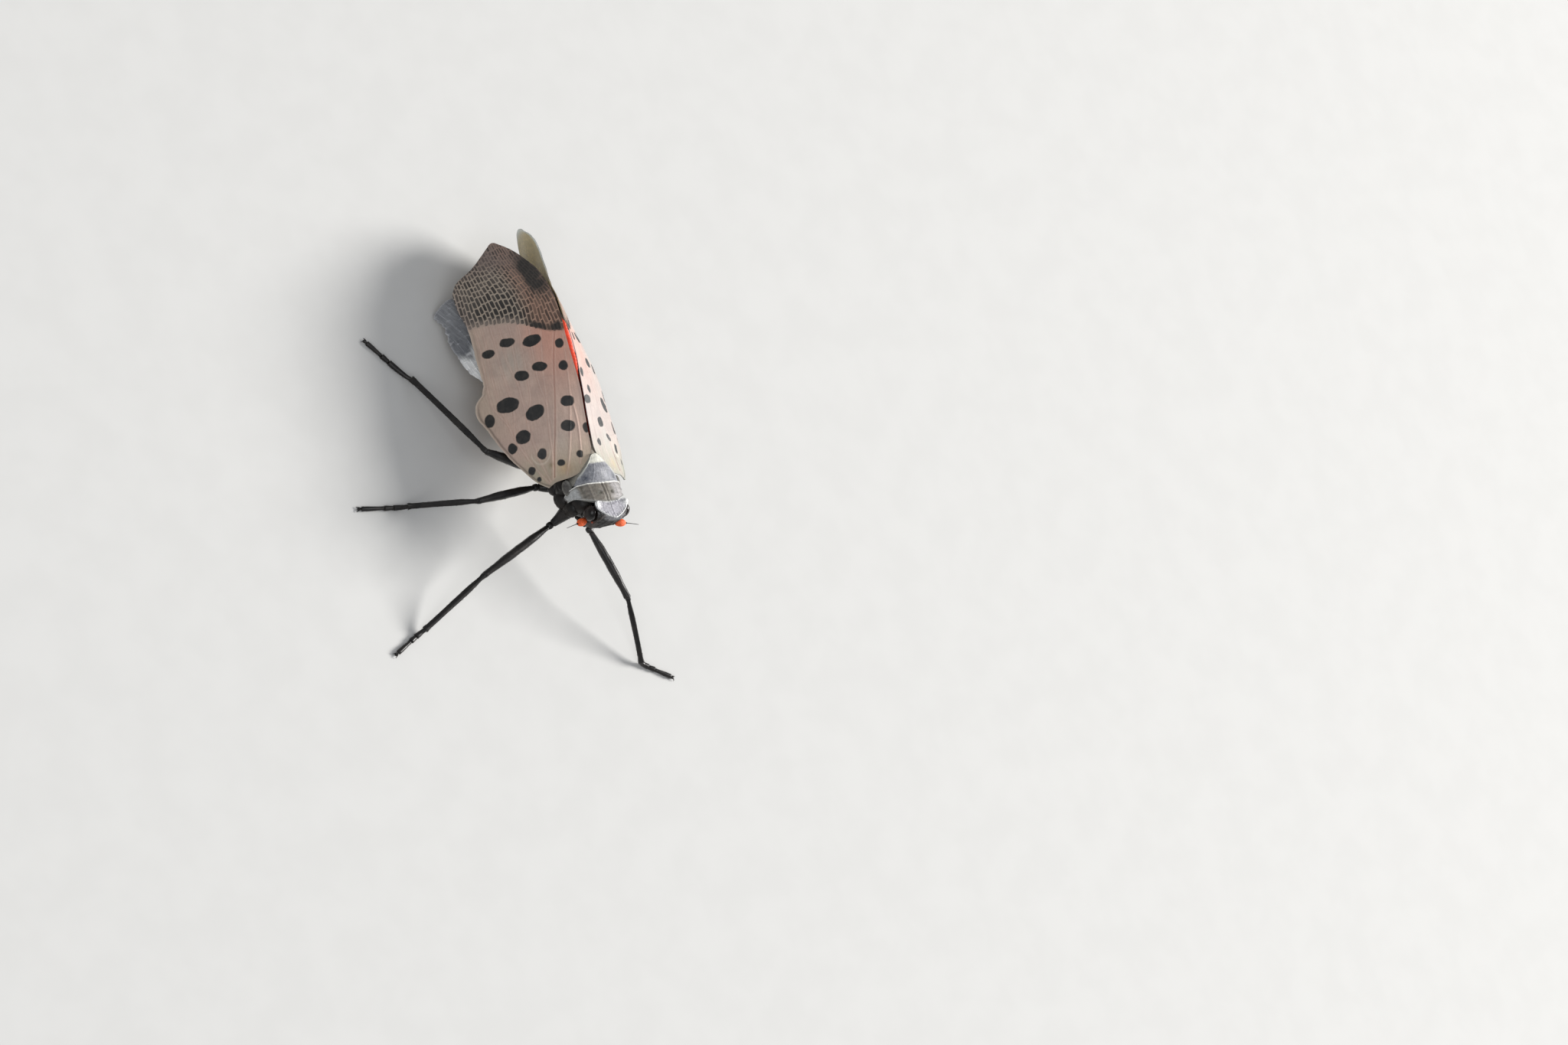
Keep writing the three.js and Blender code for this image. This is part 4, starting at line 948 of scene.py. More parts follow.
def hindwing(name, side, outer, seed):
    ns, nt = 301, 151
    s, t = np.linspace(0, 1, ns), np.linspace(0, 1, nt)
    yi, wi = hind_inner(s)
    yo, wo = outer(s)
    ragged = 0.06 + 0.1 * smooth(12, 15, yo)
    jag = ragged * (np.abs(fbm(yo * 2.6, yo * 0 + 3, 3, seed)) * 1.6 - 0.3)
    wo = wo - jag * smooth(11, 12.5, yo)
    yo = yo - 0.06 * fbm(wo * 4.0, wo * 0, 2, seed + 4) * smooth(17, 19, yo)
    Y = yi[:, None] + (yo - yi)[:, None] * t
    W = wi[:, None] + (wo - wi)[:, None] * t
    # pleats fan out from the wing's base
    fan = np.arctan2(W - 1.2, Y + 4.0)
    phase = fan * 150 + 1.2 * fbm(Y * 0.3, W * 0.3, 2, seed)
    pleat = 0.055 * (2 / np.pi) * np.arcsin(np.sin(phase) * 0.98)
    vein = np.maximum(0, np.cos((np.mod(phase, 2 * np.pi) - np.pi / 2) * 1.0)) ** 24
    cross = np.maximum(0, np.cos(Y * 5.2 + 2.5 * np.floor(phase / np.pi) + fbm(Y, W, 2, 6))) ** 30
    ys = Y + (LEFT_TIP_SHIFT * smooth(12, 22, Y) if side > 0 else 0)
    n = wing_normal(ys, W, side)
    P = wing_point(ys, W, side)
    # the ragged free edge curls a little
    free = smooth(7.8, 9.6, W) if side < 0 else 0 * W
    curl = 0.16 * free * fbm(Y * 1.3, W * 0.9, 2, seed + 9) + 0.05 * fbm(Y * 0.7, W * 0.9, 2, seed + 3)
    depth = 0.86 - 0.0 * free
    top = P - n * (depth - pleat - curl - 0.02 * vein - 0.012 * cross)[..., None]
    bottom = P - n * (depth + 0.05 - pleat - curl)[..., None]
    for q in (top, bottom):
        q[..., 0] = side * np.maximum(side * q[..., 0], 0.13)
    c = hindwing_paint(Y, W, side)
    # painted highlight: a pale grey rim along the lobe's ragged free edge
    painted_rim_highlight = np.exp(-((((1 - t)[None, :] * np.hypot(yo - yi, wo - wi)[:, None]) / 0.12) ** 2)) * smooth(12.5, 14.5, Y)
    c = c + (rgb(0.42, 0.42, 0.43) - c) * (0.6 * painted_rim_highlight)[..., None]
    lines = np.clip(vein + 0.8 * cross, 0, 1)
    veincol = c * 1.7 + rgb(0.06, 0.06, 0.062)
    red = smooth(11.5, 10, Y)[..., None]
    veincol = veincol * (1 - red) + rgb(0.62, 0.12, 0.06) * red
    at = dict(tint=colour4(c), vein=lines, veincol=colour4(veincol), lay=np.stack([fan * 15, Y * 0.6, 0 * Y], -1))
    p = Piece()
    p.sheet(body_to_row(top), body_to_row(bottom), np.stack([Y, W], -1), top_attrs=at, flip=side < 0, coarse=True)
    if side > 0:
        # the red inner fold of the hindwing, which stands up between the forewings along the ridge
        y = np.linspace(3.2, 14.0, 260)
        t = np.linspace(-1, 1, 21)
        Yk, T = np.meshgrid(y, t, indexing="ij")
        g = ridge_gap(Yk) + 0.05 + 0.06 * smooth(9.0, 10.5, Yk) * smooth(13.6, 12.8, Yk)
        h = -0.03 + 0.015 * np.sin(3.1 * Yk) + 0.22 * (1 - smooth(8.3, 10.3, Yk)) + 0.3 * smooth(13.2, 14.0, Yk) + 0.5 * (1 - smooth(3.2, 4.2, Yk))
        z = ridge(Yk) - h - 0.55 * np.abs(T) ** 2.2 + 0.012 * np.sin(Yk * 21 + 4 * T)
        x = T * g + 0.03
        K = np.stack([x, Yk, z], -1)
        below = K - np.array([0, 0, 0.06])
        bright = smooth(8.0, 9.4, Yk)[..., None]
        ck = rgb(0.13, 0.03, 0.022) * (1 - bright) + rgb(0.86, 0.075, 0.03) * bright
        ck = ck * (1 + 0.18 * fbm(Yk * 2, T, 3, 31))[..., None]
        fold_at = dict(tint=colour4(ck), vein=0 * Yk, veincol=colour4(ck), lay=np.stack([T, Yk, 0 * Yk], -1))
        p.sheet(body_to_row(K), body_to_row(below), np.stack([Yk, T * 0.5], -1), top_attrs=fold_at)
    return p.object(name, [M_HIND], replaces=[name.replace("_sheet", "")], sharp=70)


forewing("forewing_right_sheet", -1, inner_edge, front_edge_right, SPOTS_RIGHT, 41, M_WING_R)
forewing("forewing_left_sheet", 1, inner_edge_left, front_edge_left, SPOTS_LEFT, 77, M_WING_L_PAINTED_LIGHT)
hindwing("hindwing_right_sheet", -1, hind_outer_right, 5)
hindwing("hindwing_left_sheet", 1, hind_outer_left, 9)

# ------------------------------------------------------------------ pronotum, mesonotum and tegulae


def grid_normal(P):
    du, dv = np.gradient(P, axis=0), np.gradient(P, axis=1)
    return unit(np.cross(du, dv))


def pronotum():
    s = np.linspace(0, 1, 80)[:, None]
    t = np.linspace(0, 1, 260)[None, :]
    a = np.radians(-104 + 208 * t)
    q = np.minimum(1, np.abs(a) / math.radians(104))
    frontline = mix(-1.8, -0.78, smooth(0, 0.85, q))
    hindline = 0.02 + 0.1 * smooth(0, 0.4, q) - 0.3 * smooth(0.45, 1, q)
    corner = 0.22 * (1 - np.sqrt(1 - ((q - 0.8) / 0.2).clip(0, 1) ** 2 * 0.999))
    frontline, hindline = frontline + corner * 0.6, hindline - corner
    y = frontline + (hindline - frontline) * s
    x = 2.65 * np.sin(a) * (0.94 + 0.06 * s)
    top = -0.2 * s - 0.1 * (1 - s) * smooth(0.5, 0, s)
    z = top - 1.75 * (1 - np.cos(a)) + 0 * y
    P = np.stack([x + 0 * y, y, z], -1)
    n = grid_normal(P)
    n = n * np.sign((n * (P - np.array([0, 0, AXIS_Z]) * np.array([0, 0, 1]) - P * np.array([0, 1, 0]))).sum(-1, keepdims=True))
    ax = np.abs(P[..., 0])
    arc = np.degrees(np.abs(a)) + 0 * y
    relief = 0.032 * np.exp(-((P[..., 0] / 0.055) ** 2)) * smooth(0.05, 0.2, s) * smooth(1.0, 0.85, s)
    relief -= 0.035 * np.exp(-(((ax - 0.16) / 0.08) ** 2))
    relief -= 0.06 * np.exp(-(((ax - 0.55) / 0.14) ** 2) - ((y + 0.85) / 0.16) ** 2)
    relief += 0.06 * np.exp(-(((arc - 52) / 3.0) ** 2)) + 0.03 * np.exp(-(((arc - 30) / 2.5) ** 2))
    relief += 0.035 * np.exp(-(((s - 0.97) / 0.03) ** 2)) + 0.05 * np.exp(-(((s - 0.03) / 0.035) ** 2))
    relief -= 0.03 * np.exp(-(((s - 0.9) / 0.03) ** 2))
    relief += 0.022 * fbm(P[..., 0] * 3.2, y * 4.5, 4, 61) + 0.015 * np.sin(y * 16 + 2.2 * fbm(P[..., 0] * 1.5, y, 2, 4)) * smooth(10, 60, arc)
    top_g = P + n * relief[..., None]
    bottom = P - n * 0.34
    pale, brown, dark = rgb(0.32, 0.325, 0.32), rgb(0.15, 0.132, 0.11), rgb(0.045, 0.045, 0.03)
    side_pale = smooth(48, 60, arc)
    c = brown + (pale - brown) * side_pale[..., None]

    def blend(c, d, m):
        return c + (d - c) * np.clip(m, 0, 1)[..., None]

    mott = fbm(P[..., 0] * 2.0, y * 3.0, 3, 71)
    c = blend(c, rgb(0.22, 0.198, 0.17), 0.45 * smooth(-0.1, 0.5, mott))
    # painted light: the shield's left half (x > 0) is painted lighter and greyer, as a painted sunlit side
    c = blend(c, rgb(0.37, 0.355, 0.365), 0.62 * smooth(6, 26, arc + 6 * mott) * (P[..., 0] > 0))
    c = blend(c, dark, 0.8 * np.exp(-(((ax - 0.62) / 0.24) ** 2) - ((y + 0.86) / 0.22) ** 2))
    c = blend(c, dark, 0.5 * np.exp(-((P[..., 0] / 0.035) ** 2)) * smooth(0.9, 0.6, s))
    c = blend(c, dark, 0.35 * np.exp(-(((arc - 46) / 4.0) ** 2)))
    c = blend(c, rgb(0.42, 0.42, 0.4), 0.5 * smooth(0.14, 0.02, s) * (1 - side_pale * 0.4))
    c = blend(c, rgb(0.72, 0.71, 0.67), 0.95 * smooth(0.93, 0.965, s))
    c = blend(c, rgb(0.1, 0.095, 0.085), 0.45 * np.exp(-(((s - 0.9) / 0.025) ** 2)))
    c = blend(c, rgb(0.05, 0.045, 0.042), 0.9 * smooth(96, 101, arc))
    wax = 0.25 + 0.75 * side_pale + 0.2 * smooth(0.2, 0, s)
    p = Piece()
    uv = np.stack([np.broadcast_to(s * 1.6, y.shape), np.broadcast_to(t * 8.2, y.shape)], -1)
    p.sheet(body_to_row(top_g), body_to_row(bottom), uv, top_attrs=dict(tint=colour4(c), wax=np.clip(wax + 0 * y, 0, 1)), flip=False)
    return p.object("pronotum_shield", [M_NOTUM], replaces=["pronotum"], sharp=60)


shield_width = curve([(0.28, 2.15), (0.75, 1.87), (1.1, 1.48), (1.5, 1.05), (1.9, 0.68), (2.2, 0.47), (2.42, 0.36)])


def mesonotum():
    y = mix(-0.14, 2.44, np.linspace(0, 1, 140))[:, None]
    u = np.linspace(-1, 1, 150)[None, :]
    hw = shield_width(np.maximum(y, 0.28)) * np.sqrt(np.clip(1 - ((y - 2.2) / 0.245).clip(0, 1) ** 2, 0.02, 1))
    x = u * hw
    z = 0.06 - 0.1 * smooth(1.2, 0.28, y) - 0.2 * x * x + 0.1 * np.exp(-(((y - 1.0) / 0.65) ** 2)) * (1 - u**2) - 0.22 * smooth(0.3, -0.1, y)
    ridge_med = 0.012 * np.exp(-((x / 0.05) ** 2)) * smooth(2.2, 1.6, y)
    lateral = 0.016 * np.exp(-(((np.abs(x) - (0.35 + 0.33 * (1.75 - y))) / 0.06) ** 2)) * smooth(1.9, 1.6, y)
    rim = 0.03 * smooth(0.86, 0.97, np.abs(u)) * smooth(0.3, 0.8, y)
    rim = rim + 0.05 * smooth(1.6, 1.95, y) * (1 - u**2)
    z = z + ridge_med + lateral + rim + 0.014 * fbm(x * 4, y * 4 + 0 * x, 3, 81)
    P = np.stack([x, y + 0 * x, z], -1)
    bottom = np.stack([x * 0.98, y + 0 * x, z - 0.3], -1)
    c = np.broadcast_to(rgb(0.185, 0.188, 0.206), x.shape + (3,)).copy()

    def blend(c, d, m):
        return c + (d - c) * np.clip(m, 0, 1)[..., None]

    ax = np.abs(x)
    mott = fbm(x * 2.2, y * 2.2 + 0 * x, 3, 91)
    c = blend(c, rgb(0.25, 0.246, 0.275), 0.5 * smooth(-0.2, 0.5, mott))
    c = blend(c, rgb(0.03, 0.037, 0.055), 0.9 * np.exp(-(((ax - 1.36) / 0.34) ** 2) - ((y - 0.5) / 0.3) ** 2))
    c = blend(c, rgb(0.09, 0.1, 0.12), 0.5 * np.exp(-(((ax - 0.75) / 0.16) ** 2) - ((y - 0.7) / 0.45) ** 2))
    c = blend(c, rgb(0.62, 0.605, 0.52), 0.95 * smooth(1.5, 1.72, y + 0.1 * mott - 0.12 * ax) + 0 * x)
    c = blend(c, rgb(0.45, 0.45, 0.4), 0.75 * smooth(0.82, 0.95, np.abs(u)) * smooth(0.5, 1.0, y))
    c = blend(c, rgb(0.3, 0.3, 0.31), 0.25 * np.exp(-((x / 0.07) ** 2)) + 0 * y)
    p = Piece()
    uv = np.stack([y + 0 * x, x], -1)
    p.sheet(body_to_row(P), body_to_row(bottom), uv, top_attrs=dict(tint=colour4(c), wax=0.5 + 0.3 * mott + 0 * x), flip=True)
    # soft flanks that go down from the shield under the wings' inner edges
    v = np.linspace(0, 1, 16)[None, :]
    yf = mix(0.3, 2.35, np.linspace(0, 1, 60))[:, None]
    for side in (-1, 1):
        h0 = shield_width(yf) * 0.93
        xf = h0 + v * (0.75 + 0 * yf)
        zf = 0.06 - 0.1 * smooth(1.2, 0.28, yf) - 0.2 * h0**2 - 0.1 - 0.85 * v - 0.16 * v * h0 + 0.02 * fbm(xf * 4, yf * 4, 3, 55)
        F = np.stack([side * xf, yf + 0 * xf, zf], -1)
        cf = mix(rgb(0.21, 0.2, 0.17), rgb(0.07, 0.066, 0.058), smooth(0.25, 0.9, v)[..., None] + 0 * zf[..., None])
        p.sheet(body_to_row(F), body_to_row(F - np.array([0, 0, 0.08])), np.stack([yf + 0 * xf, v + 0 * xf], -1), top_attrs=dict(tint=colour4(cf), wax=0.2 + 0 * zf), flip=side > 0)
    p.object("mesonotum_shield", [M_NOTUM], replaces=["mesonotum"], sharp=60)
    # the plate behind it, seen only through the gap between the wings
    q = Piece()
    ellipsoid(q, (0, 3.3, -0.36), np.eye(3), (0.62, 1.35, 0.3), 36, 48, bump=lambda d: 0.03 * fbm(d[..., 0] * 4, d[..., 1] * 6, 3, 19), tint=lambda d: colour4(mix(rgb(0.24, 0.21, 0.165), rgb(0.15, 0.125, 0.095), smooth(-0.4, 0.6, fbm(d[..., 0] * 3, d[..., 1] * 5, 3, 23))[..., None])), wax=lambda d: 0.3 + 0 * d[..., 0])
    q.object("metanotum_plate", [M_NOTUM])


def ellipsoid(piece, centre, axes, radii, nu=24, nv=32, power=1.0, bump=None, to_row=body_to_row, mat=0, half=False, **attrs):
    """A closed rounded body: axes is three unit vectors, radii three half sizes."""
    u = np.linspace(0.02, np.pi - 0.02, nu)[:, None]
    v = (np.arange(nv) * 2 * np.pi / nv)[None, :]
    d = np.stack([np.sin(u) * np.cos(v), np.sin(u) * np.sin(v), np.cos(u) + 0 * v], -1)
    if power != 1.0:
        d = np.sign(d) * np.abs(d) ** power
    k = 1.0 if bump is None else (1 + bump(d))[..., None]
    P = np.asarray(centre) + ((d * k * np.asarray(radii))[..., None, :] * np.asarray(axes).T[None, None]).sum(-1)
    extra = {n: (x(d) if callable(x) else np.broadcast_to(x, d.shape[:2] + np.shape(x))) for n, x in attrs.items()}
    Q = to_row(P)
    piece.grid(Q, wrap=True, mat=mat, flip=True, **extra)
    base = piece.n - nu * nv
    for i, turn in ((0, 1), (nu - 1, -1)):
        ring = base + i * nv + np.arange(nv)
        nxt = np.roll(ring, -1)
        n0 = piece.n
        a = np.arange(nv) * 2 * np.pi / nv
        rim = np.stack([np.cos(a), np.sin(a)], -1) * max(radii) * 0.03
        zero = np.zeros_like(rim)
        f = np.stack([np.full(nv, n0), ring, nxt] if turn > 0 else [np.full(nv, n0), nxt, ring], -1)
        w = np.stack([zero, rim, np.roll(rim, -1, 0)] if turn > 0 else [zero, np.roll(rim, -1, 0), rim], -2)
        piece.parts.append((Q[i].mean(0)[None], f, w, mat, {k: x[i].reshape(nv, -1).mean(0)[None] for k, x in extra.items()}))
        piece.n += 1
    return P


def tegulae():
    for name, side in (("right", -1), ("left", 1)):
        p = Piece()
        n = unit([side * 0.8, -0.16, 0.58])
        a = unit(np.cross(n, [0, 1, 0.1]))
        b = np.cross(n, a)
        tint = lambda d: colour4(mix(rgb(0.055, 0.05, 0.045), rgb(0.15, 0.145, 0.13), (smooth(0.45, 0.95, np.hypot(d[..., 0], d[..., 1])) * (0.75 + 0.5 * fbm(d[..., 0] * 4, d[..., 1] * 4, 3, 12)))[..., None]))
        ellipsoid(p, (side * 2.5, 0.3, -1.6), np.array([a, b, n]), (0.4, 0.66, 0.26), 40, 56, 1.0, bump=lambda d: 0.05 * fbm(d[..., 0] * 3, d[..., 1] * 3, 3, 7) + 0.05 * smooth(0.75, 0.9, np.hypot(d[..., 0], d[..., 1])) - 0.06 * np.exp(-(((d[..., 0] - 0.15) / 0.12) ** 2)), tint=tint, wax=lambda d: 0.15 + 0 * d[..., 0])
        p.object("tegula_" + name, [M_NOTUM])


pronotum()
mesonotum()
tegulae()

# ------------------------------------------------------------------ thorax and abdomen


def blob(stations_, nu, nv, power=2.0):
    f = [curve([(q[0], q[i + 1]) for q in stations_]) for i in range(4)]
    y0, y1 = stations_[0][0], stations_[-1][0]
    uu = (1 - np.cos(np.pi * np.linspace(0, 1, nu))) / 2
    y = (y0 + (y1 - y0) * uu)[:, None]
    a = (np.arange(nv) * 2 * np.pi / nv)[None, :]
    c, s = np.cos(a), np.sin(a)
    cx, sz = np.sign(c) * np.abs(c) ** (2 / power), np.sign(s) * np.abs(s) ** (2 / power)
    x = f[1](y) * cx
    z = f[0](y) + np.where(sz > 0, f[2](y), f[3](y)) * sz
    return np.stack([x, y + 0 * x, z], -1), a + 0 * y


def closed(piece, P, mat=0, to_row=body_to_row, flip=False, **attrs):
    """A wrapped grid of rings with both ends closed."""
    Q = to_row(P)
    nu, nv = Q.shape[:2]
    piece.grid(Q, wrap=True, mat=mat, flip=flip, **attrs)
    base = piece.n - nu * nv
    for i, turn in ((0, 1), (nu - 1, -1)):
        ring = base + i * nv + np.arange(nv)
        nxt = np.roll(ring, -1)
        n0 = piece.n
        a = np.arange(nv) * 2 * np.pi / nv
        r = float(np.linalg.norm(Q[i] - Q[i].mean(0), axis=-1).max()) + 1e-3
        rim = np.stack([np.cos(a), np.sin(a)], -1) * r
        zero = np.zeros_like(rim)
        ahead = (turn > 0) != flip
        f = np.stack([np.full(nv, n0), ring, nxt] if ahead else [np.full(nv, n0), nxt, ring], -1)
        w = np.stack([zero, rim, np.roll(rim, -1, 0)] if ahead else [zero, np.roll(rim, -1, 0), rim], -2)
        piece.parts.append((Q[i].mean(0)[None], f, w, mat, {k: np.asarray(x)[i].reshape(nv, -1).mean(0)[None] for k, x in attrs.items()}))
        piece.n += 1


def thorax():
    T = -2.5
    P, a = blob([(-1.75, T, 0.9, 0.7, 0.9), (-1.3, T, 1.6, 1.15, 1.5), (-0.4, T, 1.95, 1.35, 1.85), (0.15, T, 2.05, 1.4, 2.0), (0.7, T, 2.6, 1.42, 2.1), (2, T, 2.6, 1.4, 2.1), (3.2, T - 0.05, 2.35, 1.2, 1.9), (4, T - 0.1, 1.9, 0.9, 1.5), (4.25, T - 0.1, 1.6, 0.75, 1.3)], 120, 160, 2.2)
    x, y, z = P[..., 0], P[..., 1], P[..., 2]
    axis = np.stack([0 * x, y, 0 * z + T], -1)
    n = unit(P - axis)
    relief = np.zeros_like(x)
    # seams between the plates of the flank, slanted, and the line along the flank
    for y0, lean in ((-0.55, 0.28), (0.35, 0.3), (1.35, 0.32), (2.2, 0.3), (3.1, 0.28)):
        d = (y - y0 - lean * (z - T)) / math.hypot(1, lean)
        relief -= 0.11 * np.exp(-((d / 0.05) ** 2))
        relief += 0.05 * np.exp(-(((d - 0.16) / 0.1) ** 2))
    relief -= 0.08 * np.exp(-(((z - T + 0.25) / 0.05) ** 2)) * (np.abs(x) > 1.0)
    relief -= 0.08 * np.exp(-((x / 0.06) ** 2)) * (z < T)
    relief += 0.05 * fbm(y * 1.6 + 5 * np.sign(x), z * 1.6, 3, 13)
    relief -= 0.04
    p = Piece()
    closed(p, P + n * relief[..., None], flip=True)
    # rounded lobes of the flanks over the front and middle legs
    for side in (-1, 1):
        for cx, cy, cz, rx, ry, rz in ((1.45, -0.75, -3.25, 0.62, 0.8, 0.85), (1.75, 0.25, -3.7, 0.62, 0.85, 0.8), (1.85, 1.5, -4.0, 0.62, 0.8, 0.65)):
            ellipsoid(p, (side * cx, cy, cz), np.eye(3), (rx, ry, rz), 36, 48, bump=lambda d: 0.07 * fbm(d[..., 0] * 2 + cy, d[..., 2] * 3, 3, 43) - 0.09 * np.exp(-(((d[..., 1] - 0.35 * d[..., 2]) / 0.09) ** 2)))
    # the neck, which carries the head
    ellipsoid(p, (0, -1.75, -2.25), np.eye(3), (1.2, 0.62, 1.42), 40, 56, bump=lambda d: 0.04 * fbm(d[..., 0] * 3, d[..., 2] * 3, 3, 47))
    # short fine hairs on the flanks
    rng = np.random.default_rng(3)
    i, j = rng.integers(8, 112, 520), rng.integers(0, 160, 520)
    keep = np.abs(x[i, j]) > 0.9
    i, j = i[keep], j[keep]
    base = body_to_row((P + n * relief[..., None])[i, j] - n[i, j] * 0.01)
    tip = body_to_row((P + n * relief[..., None])[i, j] + n[i, j] + np.array([0, 0.9, -0.2]))
    cones(p, base, tip - base, rng.uniform(0.08, 0.2, len(i)), 0.009, 4, mat=1, bend=0.2)
    return p.object("thorax_flanks", [M_BLACK, M_HAIR], replaces=["thorax"])


ABDOMEN = [(4.45, -2.75, 1.7, 0.95, 1.4), (5.2, -2.8, 2.2, 1.3, 1.85), (6.8, -2.9, 2.62, 1.55, 2.2), (8.5, -2.9, 2.75, 1.62, 2.3), (10.5, -2.8, 2.6, 1.6, 2.15), (12.5, -2.62, 2.05, 1.4, 1.75), (14, -2.4, 1.5, 1.1, 1.3), (14.9, -2.25, 1.15, 0.9, 1.0), (15.6, -2.12, 0.85, 0.7, 0.8), (16.3, -2.0, 0.4, 0.4, 0.4)]
RINGS = [4.45, 5.6, 7.0, 8.5, 10.05, 11.6, 13.1, 14.4, 15.2]


def abdomen():
    def cut(lo, hi):
        f = [curve([(q[0], q[i + 1]) for q in ABDOMEN]) for i in range(4)]
        ys = [lo] + [q[0] for q in ABDOMEN if lo + 0.05 < q[0] < hi - 0.05] + [hi]
        return [(y, *[float(g(y)) for g in f]) for y in ys]

    P, a = blob(cut(4.45, 14.98), 330, 150)
    x, y, z = P[..., 0], P[..., 1], P[..., 2]
    f0 = curve([(q[0], q[1]) for q in ABDOMEN])
    n = unit(P - np.stack([0 * x, y, f0(y)], -1))
    bounds = np.array(RINGS)
    k = np.clip(np.searchsorted(bounds, y, side="right") - 1, 0, len(bounds) - 2)
    t = (y - bounds[k]) / (bounds[k + 1] - bounds[k])
    # each ring bulges and its hind edge steps over the next
    relief = 0.05 * np.sin(np.pi * np.clip(t, 0, 1)) + 0.075 * smooth(0.55, 0.96, t) * (1 - smooth(0.965, 1.0, t)) - 0.06
    sidefold = np.exp(-(((np.sin(a) + 0.12) / 0.09) ** 2))
    relief -= 0.12 * sidefold
    relief += 0.018 * fbm(y * 3, a * 5, 3, 23)
    Q = P + n * relief[..., None]
    yellow, black = rgb(0.68, 0.46, 0.075), rgb(0.02, 0.018, 0.016)
    dorsal = np.sin(a) > -0.1
    edge = 0.62 + 0.05 * fbm(a * 3, k * 3.1, 2, 5)
    band = np.where(dorsal, smooth(edge + 0.05, edge - 0.05, t), smooth(0.52, 0.42, t) * smooth(0.2, 0.35, np.abs(np.cos(a))))
    c = yellow + (black - yellow) * band[..., None]
    c = c + (rgb(0.75, 0.60, 0.25) - c) * (0.5 * sidefold)[..., None]
    c = c + (rgb(0.55, 0.12, 0.04) - c) * smooth(13.6, 14.9, y)[..., None] * 0.7
    wax = np.clip(0.35 + 0.5 * fbm(y * 1.2, a * 2, 3, 3) + 0.3 * sidefold, 0, 1)
    p = Piece()
    closed(p, Q, flip=True, tint=colour4(c), wax=wax)
    p.object("abdomen_rings", [M_ABDOMEN], replaces=["abdomen"], sharp=70)

    P, a = blob(cut(14.9, 16.3), 90, 96)
    x, y, z = P[..., 0], P[..., 1], P[..., 2]
    n = unit(P - np.stack([0 * x, y, f0(y)], -1))
    relief = -0.05 * np.exp(-(((y - 15.45) / 0.05) ** 2)) + 0.03 * np.sin(np.pi * (y - 14.9) / 0.55) - 0.02 + 0.02 * fbm(y * 4, a * 4, 3, 29)
    relief -= 0.1 * np.exp(-((x / 0.05) ** 2)) * (z < -2.2)
    c = np.broadcast_to(rgb(0.36, 0.035, 0.02), x.shape + (3,)).copy()
    c = c + (rgb(0.09, 0.016, 0.012) - c) * (0.7 * smooth(-0.1, 0.6, fbm(y * 3, a * 3, 3, 37)))[..., None]
    p = Piece()
    closed(p, P + n * relief[..., None], flip=True, tint=colour4(c), wax=0.25 + 0 * x)
    for s in (-1, 1):
        path = np.stack([s * np.linspace(0.16, 0.1, 14), np.linspace(15.9, 16.62, 14), np.linspace(-2.14, -2.02, 14)], -1)
        r = 0.15 * rounded(np.linspace(0, 0.73, 14), 0.73, 0.1, 0.3)
        tube(p, path, r, r * 0.8, 14, to_row=body_to_row, tint=lambda T, S, P: colour4(np.broadcast_to(rgb(0.22, 0.03, 0.02), T.shape + (3,))), wax=lambda T, S, P: 0.2 + 0 * T)
    p.object("abdomen_last_rings", [M_ABDOMEN], replaces=["abdomen_tip"])


thorax()
abdomen()

# ------------------------------------------------------------------ head

EYE = dict(x=1.62, y=-2.28, z=-0.95, rx=0.52, ry=0.6, rz=0.72)
ANTENNA = dict(x=1.84, y=-2.74, z=-2.08, along=0.49, across=0.315, length=1.25)
head_front = curve([(-4.05, -2.2), (-3.4, -2.62), (-2.4, -3.05), (-1.2, -3.28), (-0.35, -3.38), (0.02, -3.2)])
head_rear = curve([(-4.05, -1.75), (-3.4, -1.78), (-2.4, -1.85), (-1.2, -1.98), (-0.3, -2.02), (0.02, -2.1)])
head_width = curve([(-4.05, 0.32), (-3.4, 0.72), (-2.4, 1.2), (-1.2, 1.42), (-0.3, 1.42), (0.02, 1.1)])


